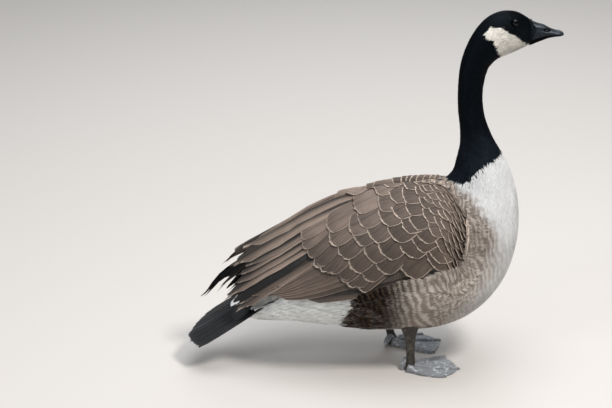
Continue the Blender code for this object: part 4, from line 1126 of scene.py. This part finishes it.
def wing_piece(name, form, finish, side, rows, node, patch, even_fringe=False):
    """One joined mesh of feathers laid on the wing, placed by x and by distance down."""
    count = len(rows)
    root_x, root_d, run, length, half, corners, paints = lay_rows(form, rows, 0.4, 0.45, count + 5)
    far, out, lift = corners
    over = np.stack([-run[:, 1], run[:, 0]], -1)
    over *= np.sign(over[:, 1:] + 1e-9)
    x = root_x[:, None] + run[:, :1] * far + over[:, :1] * out
    drop = root_d[:, None] + run[:, 1:] * far + over[:, 1:] * out
    faces = many(form, count)
    turned = over[:, 0] * run[:, 1] - over[:, 1] * run[:, 0]
    if side * turned.mean() > 0:
        faces = [f[:, ::-1] for f in faces]
    bake = bake_patch((root_x + 320) / 500, (root_d + 30) / 230, form["t"] / 2, form["s"], patch)
    across, far = np.tile(form["t"], (count, 1)), np.tile(form["sigma"], (count, 1))
    if even_fringe:
        narrow = np.minimum(half / FULL_FRINGE_HALF, 1)[:, None]
        across = np.sign(across) * (1 - (1 - np.abs(across)) * narrow)
        far = 1 - (1 - far) * np.minimum(length / FULL_FRINGE_LENGTH, 1)[:, None]
    own = np.stack([(across + 1) / 2, far], -1)
    points = wing_at(x, drop, lift, side)
    piece = put_mesh(name, points, faces, finish, {"OFBake": bake, "feather": own}, paints)
    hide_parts(node)


wing_pad = two_tone("wing_pad", 0.85, 300, (0.035, 0.027, 0.022), (0.08, 0.062, 0.05), 0.0004)
half_a = np.linspace(0, np.pi, 91)
near_body = KDTree(len(bar_u) * len(half_a))
for k, p in enumerate(body_at(*np.meshgrid(bar_u, half_a, indexing="ij")).reshape(-1, 3)):
    near_body.insert(p, k)
near_body.balance()
for side, name in ((-1, "right"), (1, "left")):
    node = "wing_" + name
    back = LEFT_BACK if side > 0 else 0.0
    dice = np.random.default_rng(41 + side)
    columns, rows = 90, 40
    I, J = np.meshgrid(np.linspace(0, 1, columns), np.linspace(0, 1, rows), indexing="ij")
    x = (152 - back) * (1 - I) - 204 * I
    top = np.interp(x, (-204, -150), (4, -12))
    drop = top + (lower_edge(x) - 11 - top) * J
    x = x + np.interp(drop, (-12, 22, 54, 114, 140), (3, 5, 1, -3, -9)) * (1 - I)
    sink = np.interp(x, (-204, 100, 130, 156), (4.2, 4.2, 6.0, 11.0))
    depth = np.interp(x, (-204, -180, -120, -60, 140, 156), (4, 7, 20, 30, 30, 18))
    depth = depth * (0.4 + 0.6 * np.sin(np.pi * J))
    rings = [wing_at(x, drop, -sink, side), wing_at(x, drop, -sink - depth, side)[:, ::-1]]
    points, faces = closed_tube(np.concatenate(rings, 1))
    if side > 0:
        faces = [f[:, ::-1] for f in faces]
    pad = put_mesh("wing_%s_pad" % name, points, faces, wing_pad, {"OFBake": tube_map(columns, 2 * rows)})
    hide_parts(node)

    coverts = []
    for x0, slope, curl, first, last, gap, length, dull in COVERT_ROWS:
        drops = np.arange(first, last, gap)
        for d in drops + dice.normal(size=len(drops)) * gap * 0.06:
            past = max(d - 30, 0)
            tx = x0 + slope * (d - 30) + curl * past**2 + dice.normal() * 1.6
            front = np.interp(d, *WING_FRONT)
            if tx > front or d > np.interp(tx, *WING_LOW):
                continue
            lean = math.atan(slope + 2 * curl * past) + dice.normal() * 0.07
            far = length * dice.uniform(0.90, 1.10)
            far = min(far, max((front + 3 - tx) / math.cos(lean), 14.0))
            rx, rd = tx + far * math.cos(lean), d - far * math.sin(lean)
            sunk = float(smooth(-22, 4, rx - np.interp(rd, *WING_FRONT)))
            # Painted light on the coverts: the upper rear ones are greyed as a painted sheen, and the front
            # and upper ones are brightened as painted light.
            covert_painted_sheen = float(smooth(70, -70, tx) * smooth(110, 0, d))
            lit = 1 + 0.62 * smooth(60, 130, tx) + 0.14 * smooth(70, 20, d)
            tint = blend(BROWN, GREY_BROWN, covert_painted_sheen) * dice.uniform(0.84, 1.14) * lit
            pale = blend(TAN, tint * 1.25, 0.75 * max(covert_painted_sheen, dull)) * dice.uniform(0.75, 1.1)
            coverts.append((
                rx - back, rd, tx - back, d, gap * 0.76, -3.2 - 8 * sunk, 0.1, 1.0, 0.0, 0.02, tint, pale,
            ))
    for tx, d in LOW_COVERTS:
        tint = BROWN * dice.uniform(0.9, 1.1)
        coverts.append((tx + 58 - back, d - 34, tx - back, d, 15, -3.6, 0.0, 0.5, 0.0, 0.01, tint, TAN * 0.8))
    for rx, rd, tx, d in FRONT_COVERTS:
        coverts.append((rx - back, rd, tx - back, d, 2.4, -2.0, -0.2, 0.1, 0.0, 0.05, TAN * 0.9, TAN * 1.25))
    wing_piece("wing_%s_coverts" % name, covert_blade, covert_vane, side, coverts, node, 0.02, True)

    rim = np.array(WING_RIM, float)
    count = COVER_PLUMES
    s = dice.uniform(0.1, len(rim) - 1.1, count)
    outward = dice.uniform(-3, 27, count)
    slope = unit(along(rim, s + 0.1) - along(rim, s - 0.1))
    aside = np.stack([-slope[:, 1], slope[:, 0]], -1)
    aside *= np.sign(aside.sum(1) + 1e-9)[:, None]
    run = unit(np.array((0.85, 0.0)) + 0.6 * aside)
    run = unit(run + 0.12 * dice.normal(size=(count, 2)))
    wavy = 1.5 * ripple(np.stack([s * 30, s * 0, s * 0], -1), 12, 57)
    tip_at = along(rim, s) + aside * (outward + wavy)[:, None]
    stands = np.interp(tip_at[:, 1], *WING_STANDS)
    length = 10.0 * dice.uniform(0.85, 1.15, count)

    def on_ramp(at, beyond, lift):
        """Places on the slope from the wing's surface down to the body's, so far beyond the rim."""
        sunk = stands * smooth(-4, 22, beyond) + 4.0 * smooth(9, 30, beyond)
        return wing_at(at[:, 0] - back, at[:, 1], 0.7 - sunk + lift, side)

    root_at = tip_at + run * length[:, None]
    mid_at = tip_at + run * (length * 0.55)[:, None]
    beyond = outward + length * np.sum(run * aside, 1)
    halfway = outward + (beyond - outward) * 0.55
    root = on_ramp(root_at, beyond, -2.5)
    mid = on_ramp(mid_at, halfway, -0.2)
    end = on_ramp(tip_at, outward, 0.0)
    lie = unit(end - root)
    nudge = on_ramp(mid_at, halfway, 1.0) - mid
    out = unit(nudge - lie * np.sum(nudge * lie, 1, keepdims=True))
    across = unit(np.cross(out, lie))
    half, level = 1.45 * dice.uniform(0.8, 1.25, count), np.zeros(count)
    points, faces, spread, far = spindles(root, lie, across, out, length, half, level, level, 0.2)
    points = points.reshape(count, 5, 3)
    points[:, 1:4] += (mid - points[:, 1:4].mean(1))[:, None]
    points[:, 4] = end
    # Painted shade: these plumes are kept darker than the flank's, as shade under the wing's lower edge.
    tone = dice.uniform(0.84, 0.99, count)[:, None]
    found = np.array([near_body.find(p)[1] for p in (mid * 0.3 + end * 0.7) * (1, side, 1)])
    near_u, near_a = bar_u[found // len(half_a)], half_a[found % len(half_a)]
    shade = barred(near_u, near_a, body_at(near_u, near_a), dice)
    tint = np.repeat((shade * tone)[:, None], 5, 1)
    patch = bake_patch((tip_at[:, 0] + 320) / 520, (tip_at[:, 1] + 30) / 240, spread, far)
    cover = put_mesh(
        "wing_%s_side_cover" % name, points, [faces], white_down, {"OFBake": patch}, {"tint": tint},
    )
    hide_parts(node)

    quills = []
    for rx, rd, tx, d, half, low, high, tilt, bow, tone in TERTIALS:
        tint = PALE_BROWN * tone * dice.uniform(0.90, 1.10)
        quills.append((rx - back, rd, tx - back, d, half, low, high, tilt * 1.6, bow, 0.06, tint, TAN * 0.68))
    for k in range(SECONDARIES):
        t = k / (SECONDARIES - 1)
        rx, rd = 44 - 110 * t, 150 - 64 * t
        tx, d = -172 - 40 * t, np.interp(t, (0, 0.25, 0.5, 1), (99, 90, 85, 83))
        bow = 27 * (1 - t) ** 1.2 - 1
        tint, pale = BROWN * 1.12 * dice.uniform(0.70, 1.28), BROWN * 2.6
        quills.append((rx - back, rd, tx - back, d, 12.5, -4.6, -3.0 + 1.5 * t, 1.5, bow, 0.015, tint, pale))
    tint, pale = BROWN * 1.05, BROWN * 2.2
    quills.append((60 - back, 168, -112 - back, 146, 11, -4.6, -3.4, 1.2, 18, 0.015, tint, pale))
    wing_piece("wing_%s_quills" % name, quill_blade, quill_vane, side, quills, node, 0.03)

    first = [(-104 - back, 70, -237 - back, 78, 11.5, -3.4, 0.0, 0.6, 0.0, 0.01, INK * 1.2, INK * 2.2)]
    wing_piece("wing_%s_primaries" % name, quill_blade, black_vane, side, first, node, 0.03)
    tips = [
        (-130, 50 + 8 * k, tx - back, d, 6.5, -5.5 - 0.6 * k, -3.2 - 0.8 * k, 0.5, 0.0, 0.005, INK, INK * 2)
        for k, (tx, d) in enumerate(LONG_TIPS[name])
    ]
    wing_piece("wing_%s_long_tips" % name, point_blade, black_vane, side, tips, node, 0.03)

# The tail: a short fan of stiff blue-black feathers with clear shafts, the middle pair on top,
# and soft white coverts over and under its root.
TAIL_ROOT = np.array((-207.0, 0.0, 114.0))
SLOPE, TURN, ROLL = math.radians(31), math.radians(7), math.radians(11)


def tail_at(back, across, up):
    """Points of the tail, so far back from its root, across it and above it."""
    side = across * math.cos(ROLL) - up * math.sin(ROLL)
    rise = up * math.cos(ROLL) + across * math.sin(ROLL)
    level = back * math.cos(SLOPE) + rise * math.sin(SLOPE)
    x = TAIL_ROOT[0] - level * math.cos(TURN) + side * math.sin(TURN)
    y = TAIL_ROOT[1] - level * math.sin(TURN) + side * math.cos(TURN)
    z = TAIL_ROOT[2] - back * math.sin(SLOPE) + rise * math.cos(SLOPE)
    return np.stack([x, y, z], -1)


def tail_piece(name, form, finish, rows, patch, seed):
    """One joined mesh of feathers laid on the tail, placed by how far back and across they lie."""
    count = len(rows)
    back0, across0, run, _, _, corners, paints = lay_rows(form, rows, 0.9, 0.5, seed)
    far, out, lift = corners
    back = back0[:, None] + run[:, :1] * far - run[:, 1:] * out
    across = across0[:, None] + run[:, 1:] * far + run[:, :1] * out
    points = tail_at(back, across, lift)
    points[..., 2] = np.maximum(points[..., 2], 0.5)
    bake = bake_patch((across0 + 70) / 140, (back0 + 40) / 200, form["t"] / 2, form["s"], patch)
    piece = put_mesh(name, points, many(form, count), finish, feather_maps(form, bake, count), paints)
    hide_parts("tail")


tail_fringe = {"side": (0.9, 1.0), "side_share": 0.3, "tip": (0.97, 1.0)}
# The tail feathers' shafts are painted paler, partly their own pale shafts and partly a painted highlight.
tail_vane = feather_finish("tail_feathers", tail_fringe, 100, roughness=0.48, shaft=-2.5, glow=0.0)
# The firm root that the feathers are set in: how far back, half width and height of each cut.
ROOT_CUTS = ((10, 40, 16), (26, 44, 9), (42, 46, 4), (56, 44, 1.5))
ROOT_RINGS, ROOT_AROUND = 25, 48
turn = full_turn(ROOT_AROUND)
rings = [(body_at(np.full(ROOT_AROUND, 0.0), turn) - TAIL_ROOT) * 0.93 + TAIL_ROOT]
for back, half, high in ROOT_CUTS:
    across = np.sin(turn) * half
    up = np.cos(turn) * high - 5 * np.abs(across / half)
    rings.append(tail_at(np.full(ROOT_AROUND, float(back)), across, up))
rings = along(np.array(rings).reshape(len(rings), -1), np.linspace(0, 4, ROOT_RINGS))
points, faces = closed_tube(rings.reshape(ROOT_RINGS, ROOT_AROUND, 3))
tail_root = two_tone("tail_root", 0.7, 300, (0.008, 0.009, 0.011), (0.018, 0.019, 0.022), 0.0004)
stump = put_mesh("tail_root_pad", points, faces, tail_root, {"OFBake": tube_map(ROOT_RINGS, ROOT_AROUND)})
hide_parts("tail")
dice = np.random.default_rng(77)
BLUE_BLACK = np.array((0.0062, 0.0067, 0.0082))
TAIL_FEATHERS = 16
rectrices = []
for i in range(TAIL_FEATHERS):
    from_middle = i - (TAIL_FEATHERS - 1) / 2
    a = from_middle / ((TAIL_FEATHERS - 1) / 2)
    lift = 4.6 - 0.55 * (2 * (abs(from_middle) - 0.5) + (1 if a > 0 else 0))
    tint = BLUE_BLACK * dice.uniform(0.8, 1.25)
    end = (125.6 - 17 * a * a if a < 0 else 123.6 - 22 * a * a) + 1.2 * dice.uniform(-1, 1)
    rectrices.append((
        22 - 52 * a * a, a * 42, end, a * 46, 10.5, lift, lift, -0.5 * np.sign(a), 0.0, 0.02,
        tint, BLUE_BLACK * 4,
    ))
# The raised shafts: place across the fan, lift and how pale each is. They are paler than the vanes, and the
# middle one's strong paleness is partly a painted highlight along the tail's ridge.
SHAFTS = (
    (-0.02, 7.2, 9.0), (0.20, 6.4, 2.2), (-0.24, 6.0, 2.2),
    (0.45, 4.6, 1.8), (-0.5, 4.0, 1.8), (-0.75, 2.2, 1.8),
)
for a, lift, tone in SHAFTS:
    shade = BLUE_BLACK * tone
    end = 118 - 14 * a * a
    rectrices.append((30, a * 43, end, a * 45, 1.1, lift - 1, lift - 0.9, 0, 0.0, 0.0, shade, shade))
tail_blade = blade(tuple(np.linspace(0, 0.88, 13)) + (0.93, 0.97, 1.0), 9, ends=0.55, rounding=0.035)
tail_piece("tail_fan", tail_blade, tail_vane, rectrices, 0.04, 5)
white_fringe = {"side": (0.7, 1.0), "side_share": 0.6, "tip": (0.7, 1.0)}
white_vane = feather_finish("white_coverts", white_fringe, 30)
WHITE = np.array((0.90, 0.90, 0.88))
COVERT_LENGTH = 42
# How far back the upper white coverts reach at each place across the tail.
RUMP_EDGE = ((-50, -30, -20, -12, -5, 2, 10, 16, 22, 30, 50), (-13, 6, 12, 17, 26, 37, 41, 37, 24, 6, -13))
coverts = []


def pad_top(back, across):
    """How high the tail's root stands over the fan."""
    half = np.interp(back, (-40, 10, 26, 42, 56), (40, 40, 44, 46, 44))
    share = min(abs(across) / half, 0.98)
    middle = np.interp(back, (-40, -20, 10, 26, 42, 56), (29, 22, 16, 9, 4.5, 4.5))
    return middle * math.sqrt(1 - share**2) - 5 * share


for above, tips_back in ((True, (36, 28, 20, 11, 2)), (False, (22, 12, 2, -8))):
    for k, rear in enumerate(tips_back):
        for j in range(15):
            across = (j - 7 + 0.5 * (k % 2)) * 6.4
            if abs(across) > 46:
                continue
            if above:
                end = rear - 36 + np.interp(across, *RUMP_EDGE)
                low, high = pad_top(end - COVERT_LENGTH, across) + 1.2, pad_top(end, across) + 2.6
            else:
                end = rear - 0.012 * across**2
                low, high = -pad_top(end - COVERT_LENGTH, across) - 4, -pad_top(end, across) - 6
            high += 0.3 * dice.normal()
            coverts.append((
                end - COVERT_LENGTH, across * 0.9, end + 0.4 * dice.normal(), across, 6.8, low, high,
                0.2 * dice.normal(), 0.4 * dice.normal(), 0.01, WHITE * dice.uniform(0.90, 1.0), WHITE * 1.1,
            ))
tail_piece("tail_coverts", body_blade, white_vane, coverts, 0.02, 6)

# The legs and feet: grey-brown scaly skin in one piece on each side, from inside the belly
# plumage down to the webs, with knuckled toes, thin webs between them and dark grey claws.

# Where each foot stands, how far it is turned out and how far its leg leans back for its height.
LEG_PLACES = {"right": (70.0, -50.0, 0.0, 0.04), "left": (45.0, 53.0, math.radians(9), 0.28)}
# The leg's and the ankle's cuts: height, half length fore and aft, half width.
LEG_CUTS = np.array([
    (0.4, 6.8, 6.8), (3, 8.8, 8.4), (9, 9.0, 7.6), (16, 8.2, 6.4), (24, 7.2, 5.5), (34, 7.0, 5.1),
    (50, 7.9, 5.8), (64, 9.8, 7.8), (78, 14, 12), (92, 19, 16),
])
LEG_RINGS, LEG_AROUND = 70, 64
# Each toe from the ankle: ahead of it, toward the bird's middle and the height of its top.
TOES = {
    "middle": (
        (-2, 0, 16), (14, -1, 12.5), (28, -1, 10.5), (44, -0.5, 7.6),
        (58, 0, 7.6), (74, 1, 5.6), (82, 1, 5.4),
    ),
    "outer": (
        (-3, -5, 14), (8, -13, 10.5), (18, -19, 9.2), (29, -23, 6.8),
        (40, -26, 7.2), (51, -28, 5.4), (57, -29, 5.0),
    ),
    "inner": (
        (-2, 4, 16), (9, 13, 13.5), (20, 22, 11.5), (32, 30, 8.4),
        (44, 38, 7.2), (56, 45, 5.4), (61, 47.5, 5.0),
    ),
}
TOE_HALF = (8.0, 5.2, 5.6, 4.2, 4.8, 3.6, 2.6)
TOE_RINGS = 40
CLAW_TIPS = {"middle": (87, 1), "outer": (61, -30), "inner": (65, 50)}
CLAW_RINGS, CLAW_AROUND = 14, 14
# The hind toe, down to its tip on the floor: behind the ankle, inward, height of its middle, radius.
HIND_TOE = (
    (-3, 4, 20, 5.0), (-9, 4, 17, 6.0), (-13, 3, 9.5, 6.2), (-15.5, 2, 4.4, 5.2), (-17.5, 2, 2.6, 3.0),
)
HIND_RINGS, HIND_AROUND = 24, 18
LEG_TINT, LEG_DUST = (0.026, 0.020, 0.015), (0.11, 0.092, 0.075)
# The pale colours of the toes and webs are partly dust and partly painted highlight, laid in patches by the
# finish.
FOOT_TINT, FOOT_DUST_AND_HIGHLIGHT = (0.25, 0.26, 0.28), (0.62, 0.65, 0.69)
WEB_TINT, WEB_DUST_AND_HIGHLIGHT = (0.29, 0.31, 0.33), (0.64, 0.67, 0.71)
# The toes' soles lie this high.
SOLE = 0.15


def foot_skin_finish():
    hide = Finish("foot_skin", 0.55)
    where = hide.add("ShaderNodeTexCoord", {}).outputs["Object"]
    cells = hide.add("ShaderNodeTexVoronoi", {"Vector": where, "Scale": 520.0}, feature="DISTANCE_TO_EDGE")
    scales = hide.step(cells.outputs[0], 0.0, 0.18)
    patches = hide.noise(42, 3.0)
    scuffs = hide.noise(170, 3.0)
    tint = hide.paint("tint")
    base = hide.mix(tint, (0.03, 0.028, 0.026, 1), hide.sum("MULTIPLY_ADD", scales, -0.35, 0.35))
    # Pale patches: partly dust and partly painted highlight on the toes and webs.
    dust_and_highlight = hide.sum("MULTIPLY", hide.step(scuffs, 0.46, 0.68), hide.step(patches, 0.38, 0.58))
    tone = hide.mix(base, hide.paint("edge"), hide.sum("MULTIPLY", dust_and_highlight, 0.85))
    rough = hide.sum("MULTIPLY_ADD", scuffs, 0.3, 0.24)
    return hide.done(tone, hide.sum("MULTIPLY_ADD", scuffs, 0.4, scales), 0.0004, rough)


def toe_rings(path, halves, around=22):
    """Rings of a toe: flat on the floor, rounded above, thick at the joints."""
    path, halves = np.array(path, float), np.array(halves, float)
    u = np.linspace(0, len(path) - 1, TOE_RINGS)
    line = along(path, u)
    wide = along(halves[:, None], u)[:, 0]
    ahead = unit(np.gradient(line[:, :2], axis=0))
    across = np.stack([-ahead[:, 1], ahead[:, 0]], -1)
    turn = 2 * np.pi * (np.arange(around) + 0.5) / around
    rise = np.maximum((np.cos(turn) + 0.5) / 1.49, 0.0)
    rings = np.zeros((TOE_RINGS, around, 3))
    rings[..., :2] = line[:, None, :2] + across[:, None] * (wide[:, None] * np.sin(turn))[..., None]
    rings[..., 2] = np.maximum(line[:, 2:] * rise, SOLE)
    return rings


foot_hide = foot_skin_finish()
claw_horn = two_tone("claw_horn", 0.35, 900, (0.05, 0.048, 0.047), (0.14, 0.135, 0.13), 0.0002)
for name, (leg_x, leg_y, turned, lean) in LEG_PLACES.items():
    inward = 1 if leg_y < 0 else -1

    def foot_at(p):
        """Places measured from the ankle, turned and set where this foot stands."""
        p = np.asarray(p, float)
        fore = p[..., 0] * math.cos(turned) + p[..., 1] * math.sin(turned)
        aside = p[..., 1] * math.cos(turned) - p[..., 0] * math.sin(turned)
        return np.stack([leg_x + fore, leg_y + inward * aside, p[..., 2]], -1)

    points, faces, tints, edges, maps = [], [], [], [], []

    def add_skin(rings, tint, edge, corner):
        """Join a closed tube to the leg's skin; corner is its cell on the unrolled map."""
        spots, parts = closed_tube(rings)
        shift = sum(len(p) for p in points)
        if inward < 0:
            parts = [p[:, ::-1] for p in parts]
        points.append(spots)
        faces.append([p + shift for p in parts])
        tints.append(np.broadcast_to(tint, spots.shape))
        edges.append(np.broadcast_to(edge, spots.shape))
        along_it = np.repeat(np.arange(rings.shape[0]) / rings.shape[0], rings.shape[1])
        round_it = np.tile(np.arange(rings.shape[1]) / rings.shape[1], rings.shape[0])
        flat = np.stack([corner[0] + round_it * 0.22, corner[1] + along_it * 0.45], -1)
        maps.append(np.concatenate([flat, [corner], [corner]]))

    cut = along(LEG_CUTS, np.linspace(0, len(LEG_CUTS) - 1, LEG_RINGS))
    turn = full_turn(LEG_AROUND)
    leg = np.zeros((LEG_RINGS, LEG_AROUND, 3))
    crease = 1 + 0.045 * np.sin(9 * turn + 1 + 0.06 * cut[:, :1]) + 0.02 * np.sin(17 * turn)
    leg[..., 0] = (leg_x - lean * cut[:, 0])[:, None] + cut[:, 1:2] * crease * np.cos(turn)
    leg[..., 1] = leg_y + cut[:, 2:3] * crease * np.sin(turn)
    leg[..., 2] = np.maximum(cut[:, :1], 0.3)
    add_skin(leg, LEG_TINT, LEG_DUST, (0.01, 0.01))
    lines = {}
    for k, (kind, path) in enumerate(TOES.items()):
        rings = toe_rings(path, TOE_HALF)
        add_skin(foot_at(rings)[:, ::-1], FOOT_TINT, FOOT_DUST_AND_HIGHLIGHT, (0.26 + 0.24 * k, 0.01))
        lines[kind] = np.array(path, float)
        start = np.array(path[-1], float)
        tip = np.array(CLAW_TIPS[kind] + (1.6,), float)
        s = np.linspace(-0.25, 1, CLAW_RINGS)
        spine = start + (tip - start) * 0.8 * s[:, None]
        spine[:, 2] = 2.4 * (1 - np.clip(s, 0, 1) ** 1.6) + 0.9
        thick = 1.9 * (1 - np.clip(s, 0, 1)) ** 0.6 + 0.3
        ahead = unit((tip - start)[:2])
        across = np.array((-ahead[1], ahead[0], 0))
        turn = full_turn(CLAW_AROUND)
        claw = spine[:, None] + across * (thick[:, None] * np.sin(turn))[..., None]
        claw[..., 2] = np.maximum(claw[..., 2] + thick[:, None] * 0.75 * np.cos(turn), 0.2)
        spots, parts = closed_tube(foot_at(claw)[:, ::-1])
        if inward < 0:
            parts = [p[:, ::-1] for p in parts]
        nail_map = tube_map(CLAW_RINGS, CLAW_AROUND)
        nail = put_mesh("claw_%s_%s" % (name, kind), spots, parts, claw_horn, {"OFBake": nail_map})
        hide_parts("foot_" + name)
    line = along(np.array(HIND_TOE), np.linspace(0, 4, HIND_RINGS))
    turn = full_turn(HIND_AROUND)
    rings = np.zeros((HIND_RINGS, HIND_AROUND, 3))
    rings[..., 0] = line[:, :1] - line[:, 3:] * 0.6 * np.cos(turn)
    rings[..., 1] = line[:, 1:2] + line[:, 3:] * np.sin(turn)
    rings[..., 2] = np.maximum(line[:, 2:3] + line[:, 3:] * 0.8 * np.cos(turn), 0.2)
    add_skin(foot_at(rings), FOOT_TINT, FOOT_DUST_AND_HIGHLIGHT, (0.01, 0.5))
    for k, second in enumerate(("outer", "inner")):
        s = np.linspace(0, 1, 40)
        first_edge = along(lines["middle"], s * 5.6)
        other_edge = along(lines[second], s * 5.6)
        t = np.linspace(0, 1, 22)
        sheet = first_edge[:, None] * (1 - t[None, :, None]) + other_edge[:, None] * t[None, :, None]
        pull = np.sin(np.pi * t) * -0.075
        heel = sheet[:1]
        sheet = sheet + (heel - sheet) * (pull[None, :, None] * (s**4)[:, None, None])
        folds = 0.45 * np.sin(t * 21 + s[:, None] * 5) * np.sin(np.pi * t) * s[:, None] ** 0.5
        upper, lower = sheet.copy(), sheet.copy()
        upper[..., 2] = 1.7 + folds + 1.2 * np.abs(2 * t - 1) ** 6 + 9.5 * (1 - s[:, None]) ** 1.6
        lower[..., 2] = 0.4
        rings = np.concatenate([upper, lower[:, ::-1]], 1)
        if second == "inner":
            rings = rings[:, ::-1]
        add_skin(foot_at(rings), WEB_TINT, WEB_DUST_AND_HIGHLIGHT, (0.26 + 0.24 * k, 0.5))
    caps = np.concatenate([f[1] for f in faces] + [f[2] for f in faces])
    parts = [np.concatenate([f[0] for f in faces]), caps]
    leg_piece = put_mesh(
        "leg_%s_skin" % name, np.concatenate(points), parts, foot_hide,
        {"OFBake": np.concatenate(maps)}, {"tint": np.concatenate(tints), "edge": np.concatenate(edges)},
    )
    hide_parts("leg_" + name, "foot_" + name)
